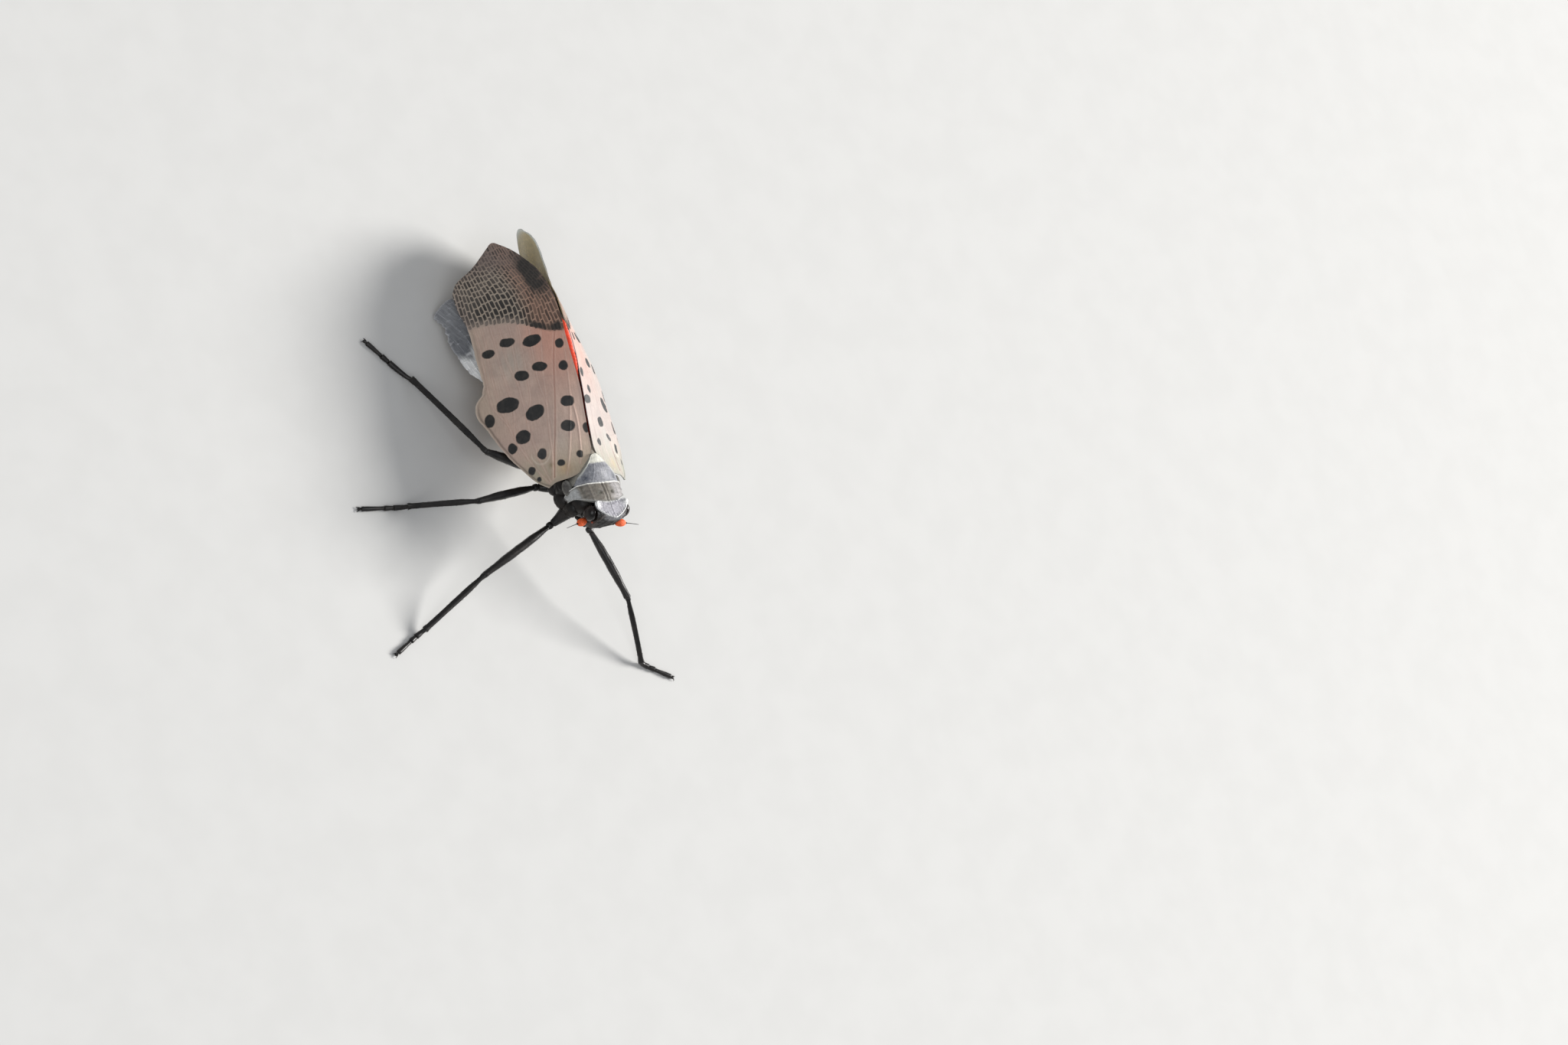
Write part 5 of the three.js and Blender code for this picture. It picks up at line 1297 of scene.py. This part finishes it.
def head():
    nz, na = 150, 200
    z = (-4.05 + 4.05 * (1 - np.cos(np.pi * np.linspace(0, 1, nz))) / 2 - 0.02)[:, None]
    a = (np.arange(na) * 2 * np.pi / na)[None, :]
    c, s = np.cos(a), np.sin(a)
    yf, yr, w = head_front(z), head_rear(z), head_width(z)
    yc = yf + (yr - yf) * 0.62
    x = w * np.sign(c) * np.abs(c) ** 0.9
    y = np.where(s > 0, yc + (yr - yc) * np.abs(s) ** 0.75, yc + (yf - yc) * np.abs(s) ** 1.15)
    P = np.stack([x, y, z + 0 * x], -1)
    n = unit(np.stack([c * 1.2 + 0 * z, s + 0 * z, 0 * x], -1))
    face = (s < 0).astype(float)
    relief = 0.06 * np.exp(-((x / 0.05) ** 2)) * face * smooth(-3.0, -2.4, z) * smooth(-0.1, -0.5, z)
    keel = np.abs(np.abs(x) - (0.95 + 0.18 * smooth(-2.6, -1.0, z)) * w / 1.42)
    relief += 0.1 * np.exp(-((keel / 0.07) ** 2)) * face * smooth(-3.2, -2.7, z)
    relief += 0.05 * np.exp(-(((np.abs(x) - 0.42 * w) / 0.05) ** 2)) * face * smooth(-2.9, -2.4, z)
    relief -= 0.07 * np.exp(-(((z + 2.95 + 0.25 * (x / 0.8) ** 2) / 0.05) ** 2)) * face
    relief -= 0.06 * np.exp(-(((z + 3.62) / 0.05) ** 2)) * face
    relief += 0.03 * fbm(x * 3, z * 3 + y, 3, 51)
    # sockets of the eyes
    for side in (-1, 1):
        d = np.sqrt(((P[..., 0] - side * EYE["x"]) / (EYE["rx"] + 0.1)) ** 2 + ((P[..., 1] - EYE["y"]) / (EYE["ry"] + 0.1)) ** 2 + ((P[..., 2] - EYE["z"]) / (EYE["rz"] + 0.1)) ** 2)
        relief -= 0.22 * smooth(1.1, 0.5, d)
        relief += 0.07 * np.exp(-(((d - 1.12) / 0.09) ** 2))
    Q = P + n * relief[..., None]
    black, brown, grey = rgb(0.009, 0.008, 0.0078), rgb(0.028, 0.017, 0.012), rgb(0.2, 0.2, 0.21)

    def blend(c, d, m):
        return c + (d - c) * np.clip(m, 0, 1)[..., None]

    col = np.broadcast_to(black, x.shape + (3,)).copy()
    col = blend(col, brown, 0.6 * smooth(-0.1, 0.5, fbm(x * 2, z * 2, 3, 9)) * face)
    col = blend(col, grey, 0.6 * smooth(-0.5, -0.1, z + 0.15 * fbm(x * 4, z * 4, 2, 15)) * face * smooth(1.2, 0.7, np.abs(x)))
    col = blend(col, rgb(0.05, 0.032, 0.022), 0.5 * np.exp(-((keel / 0.06) ** 2)) * face)
    p = Piece()
    wax = np.clip(0.6 * smooth(-0.6, -0.15, z) * face + 0 * x, 0, 1)
    closed(p, Q, tint=colour4(col), wax=wax)

    # vertex: the triangular top of the head, hollow in the middle, with a thick wrinkled margin
    knots = [(0, -1.76, -0.1), (0.7, -1.72, -0.06), (1.25, -1.66, 0.02), (1.62, -1.84, 0.06), (1.5, -2.28, 0.0), (1.1, -2.72, 0.0), (0.55, -3.08, 0.03), (0, -3.28, 0.06)]
    ring = knots + [(-q[0], q[1], q[2]) for q in knots[-2:0:-1]]
    ring = np.array(ring)
    m = 240
    tt = np.arange(m) / m * len(ring)
    i = np.floor(tt).astype(int)
    u = (tt - i)[:, None]
    p0, p1, p2, p3 = (ring[(i + k) % len(ring)] for k in (-1, 0, 1, 2))
    O = 0.5 * (2 * p1 + (p2 - p0) * u + (2 * p0 - 5 * p1 + 4 * p2 - p3) * u**2 + (3 * p1 - p0 - 3 * p2 + p3) * u**3)
    C = np.array([0, -2.3, 0.0])
    rho = np.concatenate([np.linspace(0.01, 0.97, 60), np.linspace(0.975, 1.0, 8)])[:, None]
    fall = np.array([0, 0.02, 0.06, 0.12, 0.2, 0.3])[:, None]
    XY = C[None, None, :2] + rho[..., None] * (O[None, :, :2] - C[None, None, :2])
    rimz = O[None, :, 2]
    zz = C[2] + (rimz - C[2]) * smooth(0.35, 0.95, rho) + 0.05 * np.exp(-(((rho - 0.93) / 0.05) ** 2)) - 0.03 * smooth(0.95, 1.0, rho)
    zz = zz + 0.03 * np.exp(-((XY[..., 0] / 0.07) ** 2)) * smooth(0.95, 0.6, rho)
    knob = np.exp(-(((np.abs(XY[..., 0]) - 1.38) / 0.27) ** 2) - ((XY[..., 1] + 1.95) / 0.26) ** 2)
    zz = zz + 0.17 * knob
    wrinkle = fbm(XY[..., 0] * 5.5, XY[..., 1] * 5.5, 3, 19)
    zz = zz + 0.035 * wrinkle * smooth(0.1, 0.6, rho) + 0.02 * np.sin(XY[..., 0] * 24 + 3 * wrinkle) * np.exp(-(((rho - 0.88) / 0.1) ** 2))
    top = np.concatenate([XY, zz[..., None]], -1)
    skirt_xy = O[None, :, :2] + (C[None, None, :2] - O[None, :, :2]) * (fall[..., None] * 0.5)
    skirt_z = zz[-1][None] - fall * 1.6
    skirt = np.concatenate([skirt_xy, skirt_z[..., None]], -1)[1:]
    V = np.concatenate([top, skirt], 0)
    R = np.concatenate([rho, np.full((5, 1), 1.05)])
    lump = np.concatenate([knob, np.zeros((5, m))])
    wr = np.concatenate([wrinkle, np.zeros((5, m))])
    col = np.broadcast_to(rgb(0.34, 0.33, 0.36), V.shape).copy()
    col = blend(col, rgb(0.55, 0.55, 0.545), 0.85 * smooth(0.8, 0.92, R) + 0 * V[..., 0])
    col = blend(col, rgb(0.68, 0.68, 0.665), np.clip(1.4 * lump, 0, 1))
    col = blend(col, rgb(0.17, 0.163, 0.175), 0.4 * smooth(0.1, 0.6, -wr) * smooth(0.95, 0.7, R))
    col = blend(col, rgb(0.04, 0.036, 0.036), smooth(1.0, 1.05, R) * 0.75 + 0 * V[..., 0])
    closed(p, V, flip=True, tint=colour4(col), wax=np.clip(0.5 + 0.4 * wr, 0, 1))

    # scapes, the antennae's dark sockets, and the ocelli
    for side in (-1, 1):
        d = unit([side * 0.95, -0.22, 0.12])
        c0 = np.array([side * ANTENNA["x"], ANTENNA["y"] - 0.2 * side, ANTENNA["z"]])
        L = 0.62
        sm = stations(L, 0.1, 0.08, 16)
        path = c0 - d * (ANTENNA["along"] + 0.62) + d * sm[:, None]
        r = mix(0.34, 0.24, smooth(0, 0.5, sm)) * rounded(sm, L, 0.1, 0.08)
        tube(p, path, r, sides=24, to_row=body_to_row, tint=lambda T, S, P: colour4(np.broadcast_to(rgb(0.018, 0.014, 0.012), T.shape + (3,))), wax=lambda T, S, P: 0 * T)
        ellipsoid(p, (side * 1.28, -2.86, -1.52), np.eye(3), (0.09, 0.09, 0.09), 12, 18, tint=colour4(rgb(0.28, 0.06, 0.03)), wax=np.array([0.0]))
    rng = np.random.default_rng(8)
    N = 240
    i, j = rng.integers(20, 130, N), rng.integers(0, na, N)
    keep = s[0, j] < 0.2
    i, j = i[keep], j[keep]
    b0 = body_to_row(Q[i, j] - n[i, j] * 0.01)
    b1 = body_to_row(Q[i, j] + n[i, j] + np.array([0, 0, -0.7]))
    cones(p, b0, b1 - b0, rng.uniform(0.06, 0.13, len(i)), 0.007, 4, mat=1, bend=0.2)
    p.object("head_capsule", [M_FACE, M_HAIR], replaces=["head"])

    for name, side in (("right", -1), ("left", 1)):
        p = Piece()
        ellipsoid(p, (side * EYE["x"], EYE["y"], EYE["z"]), np.eye(3), (EYE["rx"], EYE["ry"], EYE["rz"]), 90, 120, bump=lambda d: 0.006 * np.cos(d[..., 1] * 90) * np.cos(d[..., 2] * 90))
        p.object("eye_dome_" + name, [M_EYE], replaces=["eye_" + name])

        # antenna: an orange-red granular bulb and a thin black bristle with its small round base
        p = Piece()
        d = unit([side * 0.95, -0.22, 0.12])
        c0 = np.array([side * ANTENNA["x"], ANTENNA["y"] - 0.2 * side, ANTENNA["z"]])
        a1 = unit(np.cross(d, [0, 0, 1]))
        a2 = np.cross(d, a1)
        golden = np.pi * (3 - math.sqrt(5))
        K = 150
        kk = np.arange(K)
        gz = 1 - 2 * (kk + 0.5) / K
        dots = np.stack([np.sqrt(1 - gz**2) * np.cos(golden * kk), np.sqrt(1 - gz**2) * np.sin(golden * kk), gz], -1)

        def granules(q):
            m = (unit(q)[..., None, :] * dots).sum(-1).max(-1)
            return 0.075 * smooth(0.986, 0.9985, m) * smooth(-0.93, -0.7, q[..., 2]) - 0.02

        def bulb_tint(q):
            m = (unit(q)[..., None, :] * dots).sum(-1).max(-1)
            k = smooth(0.986, 0.998, m)[..., None]
            c = mix(rgb(0.56, 0.052, 0.022), rgb(0.88, 0.17, 0.035), k)
            end = smooth(-0.75, -0.98, q[..., 2])[..., None]
            return colour4(c * (1 - end) + rgb(0.1, 0.02, 0.012) * end)

        ellipsoid(p, c0, np.array([a1, a2, d]), (ANTENNA["across"], ANTENNA["across"], ANTENNA["along"]), 100, 120, bump=granules, tint=bulb_tint)
        L = ANTENNA["length"] + 0.06
        sm = stations(L, 0.03, 0.02, 34)
        sag = np.array([0, 0, -0.12])
        path = c0 + d * (ANTENNA["along"] - 0.06) + d * sm[:, None] + sag * (sm[:, None] / L) ** 2
        r = (0.02 + 0.05 * np.exp(-(((sm - 0.12) / 0.07) ** 2)) + 0.012 * (1 - sm / L)) * rounded(sm, L, 0.03, 0.02)
        tube(p, path, r, sides=12, mat=1, to_row=body_to_row, tint=lambda T, S, P: colour4(np.broadcast_to(rgb(0.02, 0.018, 0.016), T.shape + (3,))))
        p.object("antenna_bulb_" + name, [M_ANT, M_BLACK], replaces=["antenna_" + name])


head()


def rostrum():
    p = Piece()
    knots = np.array([(-1.62, -4.35), (-1.0, -4.78), (-0.2, -5.0), (1.4, -5.08), (3.4, -5.12)])
    s = np.concatenate([[0], np.cumsum(np.linalg.norm(np.diff(knots, axis=0), axis=-1))])
    fy, fz = curve(list(zip(s, knots[:, 0]))), curve(list(zip(s, knots[:, 1])))
    L = s[-1]
    # clypeus, then the three lengths of the beak
    sm = np.linspace(-0.55, 0.0, 12)
    q = np.concatenate([sm, stations(L, 0.25, 0.2, 110)[1:]])
    y = np.where(q < 0, -1.62 + q * 0.85, fy(np.maximum(q, 0)))
    z = np.where(q < 0, -4.35 - q * 0.75, fz(np.maximum(q, 0)))
    path = np.stack([0 * y, y, z], -1)
    base = np.interp(q, [-0.55, 0, 0.8, 2.2, L], [0.34, 0.3, 0.22, 0.18, 0.13])
    joints = sum(0.03 * np.exp(-(((q - c) / 0.06) ** 2)) - 0.03 * np.exp(-(((q - c - 0.12) / 0.04) ** 2)) for c in (0.75, 2.1, 3.9))
    r = (base + joints) * np.where(q > L - 0.25, np.sqrt(np.clip((L - q) / 0.25, 0.0004, 1)), 1.0) * np.where(q < -0.45, np.sqrt(np.clip((q + 0.56) / 0.11, 0.01, 1)), 1.0)
    tube(p, path, r, r * 0.9, 26, up=(0, 0, 1), section=lambda T, S: 1 - 0.12 * np.exp(-((np.sin(T) + 1) / 0.06)), to_row=body_to_row)
    p.object("rostrum_beak", [M_BLACK], replaces=["rostrum"])


rostrum()

# ------------------------------------------------------------------ legs

LEGS = {
    "front_right": ((-1.3, -1.3, 5.72), (-2.45, -1.95, 4.7), (-8.9, -5.1, 3.1), (-14.0, -8.4), (-16.9, -10.0)),
    "middle_right": ((-1.5, 1.1, 4.75), (-2.85, 1.3, 4.6), (-8.7, 0.7, 4.5), (-12.8, 1.8), (-17.2, 2.1)),
    "hind_right": ((-1.4, 2.9, 4.8), (-2.6, 2.75, 4.4), (-6.8, 4.7, 4.5), (-9.5, 12.3), (-12.9, 16.0)),
    "front_left": ((1.3, -1.3, 5.72), (1.1, -2.6, 4.75), (3.8, -8.6, 4.0), (6.1, -13.4), (9.2, -15.0)),
    "middle_left": ((1.5, 1.1, 4.75), (2.25, 1.85, 4.75), (5.6, 6.2, 3.4), (6.6, 0.9), (8.0, -1.0)),
    "hind_left": ((1.4, 2.9, 4.8), (2.0, 3.9, 4.3), (4.9, 7.9, 3.1), (6.1, 16.4), (6.4, 20.6)),
}
ANKLE_Z = 0.6


def limb(piece, a, b, radii, e0, e1, n=46, sides=22, bow=0.0, section=None, flat=1.0, up=(0, 0, 1), mat=0):
    """A limb from a to b; radii are (share of length, radius) knots; bow lifts its middle."""
    a, b = np.asarray(a, float), np.asarray(b, float)
    L = float(np.linalg.norm(b - a))
    s = stations(L, e0, e1, n)
    t = s / L
    path = a + (b - a) * t[:, None] + np.asarray(up, float) * (bow * np.sin(np.pi * t))[:, None]
    r = curve(radii)(t) * rounded(s, L, e0, e1)
    return tube(piece, path, r * flat, r, sides, up=up, section=section, mat=mat), s, L


def bristles(piece, made, count, length, seed, lean=1.1, mat=1, radius=0.008, lo=0.05, hi=0.95, rows=None):
    """Short hairs on a limb that lean towards its end."""
    (P, T, side, top), s, L = made
    rng = np.random.default_rng(seed)
    m, k = P.shape[:2]
    i = (rng.uniform(lo, hi, count) * (m - 1)).astype(int)
    j = rng.integers(0, k, count) if rows is None else rng.choice(rows, count)
    c = P.mean(1)
    out = unit(P[i, j] - c[i])
    d = unit(out + T[i] * lean + rng.normal(0, 0.12, (count, 3)))
    cones(piece, floor_to_row(P[i, j] - out * 0.01), d, rng.uniform(0.7, 1.3, count) * length, radius, 4, mat=mat, bend=0.15, bend_to=(0, 0, -1))


def leg(name, coxa, hip, knee, ankle2, foot2):
    hind = name.startswith("hind")
    front = name.startswith("front")
    coxa, hip, knee = (np.array(v, float) for v in (coxa, hip, knee))
    ankle = np.array([*ankle2, ANKLE_Z])
    foot = np.array([*foot2, 0.0])
    seed = sum(map(ord, name))
    group = "_" + name

    # the coxa
    p = Piece()
    d = unit(hip - coxa)
    root = coxa + np.array([-0.35 * np.sign(coxa[0]), 0.45 if front else 0.1, 0.85])
    stop = hip - d * 0.05
    q = np.linspace(0, 1, 46)
    path = ((1 - q) ** 2)[:, None] * root + (2 * q * (1 - q))[:, None] * (coxa + d * 0.1) + (q**2)[:, None] * stop
    along = np.concatenate([[0], np.cumsum(np.linalg.norm(np.diff(path, axis=0), axis=-1))])
    thickness = curve([(0, 0.62), (0.3, 0.66), (0.55, 0.56), (0.8, 0.4), (1, 0.3)] if front else [(0, 0.5), (0.35, 0.52), (0.7, 0.42), (1, 0.3)])(q) * rounded(along, along[-1], 0.3, 0.16)
    made = tube(p, path, thickness, sides=28, section=lambda T, S: 1 + 0.03 * np.sin(5 * T + 6 * S)), along, along[-1]
    bristles(p, made, 60, 0.11, seed + 1)
    p.object("coxa_joint" + group, [M_LEG, M_HAIR], replaces=["coxa" + group])

    # femur: trochanter ring, a flattened spindle with two low keels, and the swollen knee
    p = Piece()
    d = unit(knee - hip)
    ring = limb(p, hip - d * 0.16, hip + d * 0.42, [(0, 0.27), (0.5, 0.31), (1, 0.25)], 0.16, 0.1, 12, 24)
    thick = 1.04 if hind else 1.0
    if front and name.endswith("left"):
        thick = 0.9
    prof = [(0, 0.24 * thick), (0.06, 0.27 * thick), (0.3, 0.40 * thick), (0.6, 0.41 * thick), (0.85, 0.32 * thick), (0.94, 0.30), (0.975, 0.335), (1, 0.31)]
    keels = lambda T, S: 1 + 0.07 * np.cos(2 * T) ** 8 - 0.05 * np.cos(4 * T) + 0.02 * np.sin(T * 3 + S * 30)
    made = limb(p, hip + d * 0.28, knee + d * 0.12, prof, 0.2, 0.3, 60, 28, bow=0.1, section=keels, flat=0.84)
    bristles(p, made, 260, 0.11, seed + 2)
    p.object("femur_shaft" + group, [M_LEG, M_HAIR], replaces=["femur" + group])

    # tibia: four-sided, with spines on the hind legs and a crown of teeth at its end
    p = Piece()
    u, v = unit(hip - knee), unit(ankle - knee)
    fold = max(0.0, float(u @ v))
    start = knee - v * (0.14 - 0.3 * fold)
    end = ankle + v * 0.06
    w0, w1, w2 = (0.25, 0.29, 0.27) if hind else (0.22, 0.255, 0.235)
    prof = [(0, 0.2), (0.03, w0 + 0.02), (0.08, w0 - 0.03), (0.3, w1), (0.75, w2), (0.93, w2), (0.985, w2 + 0.05), (1, w2)]
    box = lambda T, S: 1 + 0.085 * np.cos(4 * T) + 0.03 * np.cos(4 * T) ** 3 - 0.012 * np.sin(S * 70)
    made = limb(p, start, end, prof, 0.18, 0.14, 80, 28, bow=0.06, section=box, flat=0.92)
    bristles(p, made, 420, 0.12, seed + 3, lean=1.6)
    (P, T, side, top), s, L = made
    m = len(s)
    if hind:
        # a row of strong spines on the outer side
        k = np.array([0.2, 0.36, 0.52, 0.68, 0.84])
        i = (k * (m - 1)).astype(int)
        outw = unit(side[i] * (1 if float(side[i[0]] @ np.array([np.sign(hip[0]), 0, 0])) > 0 else -1) + top[i] * 0.4)
        base = P.mean(1)[i] + outw * 0.2
        cones(p, floor_to_row(base), outw * 0.8 + T[i] * 0.9, np.array([0.26, 0.3, 0.34, 0.36, 0.36]), 0.085, 10, mat=0, bend=0.1)
    a = np.linspace(0, 2 * np.pi, 9)[:-1]
    crown = P.mean(1)[-8] + 0.2 * (np.cos(a)[:, None] * side[-8] + np.sin(a)[:, None] * top[-8])
    cones(p, floor_to_row(crown), T[-8] * 1.0 + 0.55 * (np.cos(a)[:, None] * side[-8] + np.sin(a)[:, None] * top[-8]), 0.2 if hind else 0.13, 0.05, 7, mat=0)
    p.object("tibia_shaft" + group, [M_LEG, M_HAIR], replaces=["tibia" + group])

    # tarsus: three lengths with narrow necks, a pad and two claws, flat on the floor
    p = Piece()
    line = foot - np.array([*ankle2, 0.0])
    L = float(np.linalg.norm(line))
    d = line / L
    side = np.array([-d[1], d[0], 0.0])
    on = lambda k, z: np.array([*ankle2, 0.0]) + d * (L * k) + np.array([0, 0, z])
    cuts = (0.0, 0.46, 0.62, 0.95) if hind else (0.0, 0.27, 0.46, 0.95)
    heights = curve([(-0.06, 0.6), (0, 0.5), (0.1, 0.34), (0.3, 0.24), (0.6, 0.2), (1, 0.19)])
    s = np.unique(np.concatenate([stations((cuts[3] + 0.05) * L, 0.12, 0.16, 60), (np.array(cuts[1:3])[:, None] + 0.05) * L + np.linspace(-0.12, 0.12, 9)[None, :]], axis=None))
    k = s / L - 0.05
    path = np.stack([on(q, float(heights(q))) for q in k])
    swell = np.ones_like(k)
    r = 0.19 + 0.0 * k
    for i in range(3):
        inside = (k >= cuts[i]) & (k <= cuts[i + 1])
        t = (k - cuts[i]) / (cuts[i + 1] - cuts[i])
        r = np.where(inside, ((0.185, 0.18, 0.15)[i]) + ((0.05, 0.045, 0.05)[i]) * smooth(0, 0.85, t), r)
    for q in cuts[1:3]:
        r = r * (1 - 0.38 * np.exp(-(((k - q) * L / 0.045) ** 2)))
    r = r * rounded(s, float(s[-1]), 0.12, 0.16)

    def flat_sole(P):
        P = np.array(P)
        P[..., 2] = np.maximum(P[..., 2], 0.004)
        return floor_to_row(P)

    made = tube(p, path, r, r, 22, to_row=flat_sole), s, L
    bristles(p, made, 170, 0.1, seed + 5, lean=1.4)
    # two small teeth under the first and second lengths
    for q in cuts[1:3]:
        base = on(q - 0.01, 0.12)
        teeth = np.array([base + side * 0.1, base - side * 0.1])
        cones(p, floor_to_row(teeth), np.array([d + side * 0.3 - [0, 0, 0.25], d - side * 0.3 - [0, 0, 0.25]]), 0.14, 0.045, 6)
    tip = on(0.95, 0.19)
    for sgn in (-1, 1):
        w = np.linspace(0, 1, 20)
        path = tip + d * (0.36 * np.sin(w * 1.5))[:, None] + side * (sgn * (0.05 + 0.17 * w))[:, None] + np.array([0, 0, 1.0]) * (0.05 * np.sin(np.pi * w) - 0.165 * w**2)[:, None]
        r = 0.058 * (1 - w) ** 0.7 + 0.006
        r[0] = 0.01
        tube(p, path, r, sides=10)
    pad = tip + d * 0.14 - np.array([0, 0, 0.07])
    ellipsoid(p, pad, np.array([d, side, [0, 0, 1.0]]), (0.17, 0.13, 0.1), 16, 20, to_row=flat_sole)
    p.object("tarsus_foot" + group, [M_LEG, M_HAIR], replaces=["tarsus" + group])


for leg_name, joints in LEGS.items():
    leg(leg_name, *joints)

# ------------------------------------------------------------------ floor, light and camera

floor = bpy.data.meshes.new("floor")
size = 1.6
steps = 40
gx = np.linspace(-size, size, steps)
GX, GY = np.meshgrid(gx, gx, indexing="ij")
co = np.stack([GX, GY, np.full_like(GX, -0.00002)], -1).reshape(-1, 3)
idx = np.arange(steps * steps).reshape(steps, steps)
quads = np.stack([idx[:-1, :-1], idx[1:, :-1], idx[1:, 1:], idx[:-1, 1:]], -1).reshape(-1, 4)
floor.from_pydata(co.tolist(), [], quads.tolist())
floor_ob = bpy.data.objects.new("studio_floor", floor)
bpy.context.scene.collection.objects.link(floor_ob)
floor.materials.append(floor_material())

AZIMUTH, ELEVATION, ROLL = map(math.radians, (-75, 50, 64))
LENS, SENSOR, WIDE, HIGH = 100.0, 36.0, 2048, 1365
FPX = LENS / SENSOR * WIDE
back = np.array([math.sin(AZIMUTH) * math.cos(ELEVATION), -math.cos(AZIMUTH) * math.cos(ELEVATION), math.sin(ELEVATION)])
ahead = -back
right = unit(np.cross(ahead, [0, 0, 1]))
upward = np.cross(right, ahead)
R = right * math.cos(ROLL) + upward * math.sin(ROLL)
U = -right * math.sin(ROLL) + upward * math.cos(ROLL)
D = FPX / 16.2
ref = np.array([0, 2.4, 9.4]) - ORIGIN
loc = ref - (ahead + R * ((776 - WIDE / 2) / FPX) - U * ((593 - HIGH / 2) / FPX)) * D
cam_data = bpy.data.cameras.new("camera")
cam_data.lens, cam_data.sensor_width, cam_data.sensor_fit = LENS, SENSOR, "HORIZONTAL"
cam_data.clip_start, cam_data.clip_end = 0.01, 10.0
cam = bpy.data.objects.new("camera", cam_data)
bpy.context.scene.collection.objects.link(cam)
from mathutils import Matrix, Vector

m = Matrix((
    (R[0], U[0], -ahead[0], loc[0] * MM),
    (R[1], U[1], -ahead[1], loc[1] * MM),
    (R[2], U[2], -ahead[2], loc[2] * MM),
    (0, 0, 0, 1),
))
cam.matrix_world = m
bpy.context.scene.camera = cam


def lamp(name, direction, distance, size_, watts, colour=(1, 1, 1), aim=(0, 0, 0.004)):
    data = bpy.data.lights.new(name, "AREA")
    data.shape, data.size, data.energy, data.color = "DISK", size_, watts, colour
    ob = bpy.data.objects.new(name, data)
    bpy.context.scene.collection.objects.link(ob)
    place = Vector(aim) + Vector(unit(direction).tolist()) * distance
    ob.location = place
    ob.rotation_mode = "QUATERNION"
    ob.rotation_quaternion = (place - Vector(aim)).to_track_quat("Z", "Y")
    return ob


# the light comes from the side of the left wing and from above, with soft fill all round
lamp("key", (0.86, -0.12, 0.52), 1.5, 0.6, 40.0, (1.0, 0.985, 0.96))
lamp("fill", (-0.55, -0.35, 0.85), 1.5, 1.2, 8.1, (0.97, 0.985, 1.0))

world = bpy.data.worlds.new("studio")
bpy.context.scene.world = world
world.use_nodes = True
world.node_tree.nodes["Background"].inputs[0].default_value = (0.92, 0.95, 1.0, 1)
world.node_tree.nodes["Background"].inputs[1].default_value = 0.4
bpy.context.scene.view_settings.view_transform = "Standard"

bpy.context.view_layer.update()
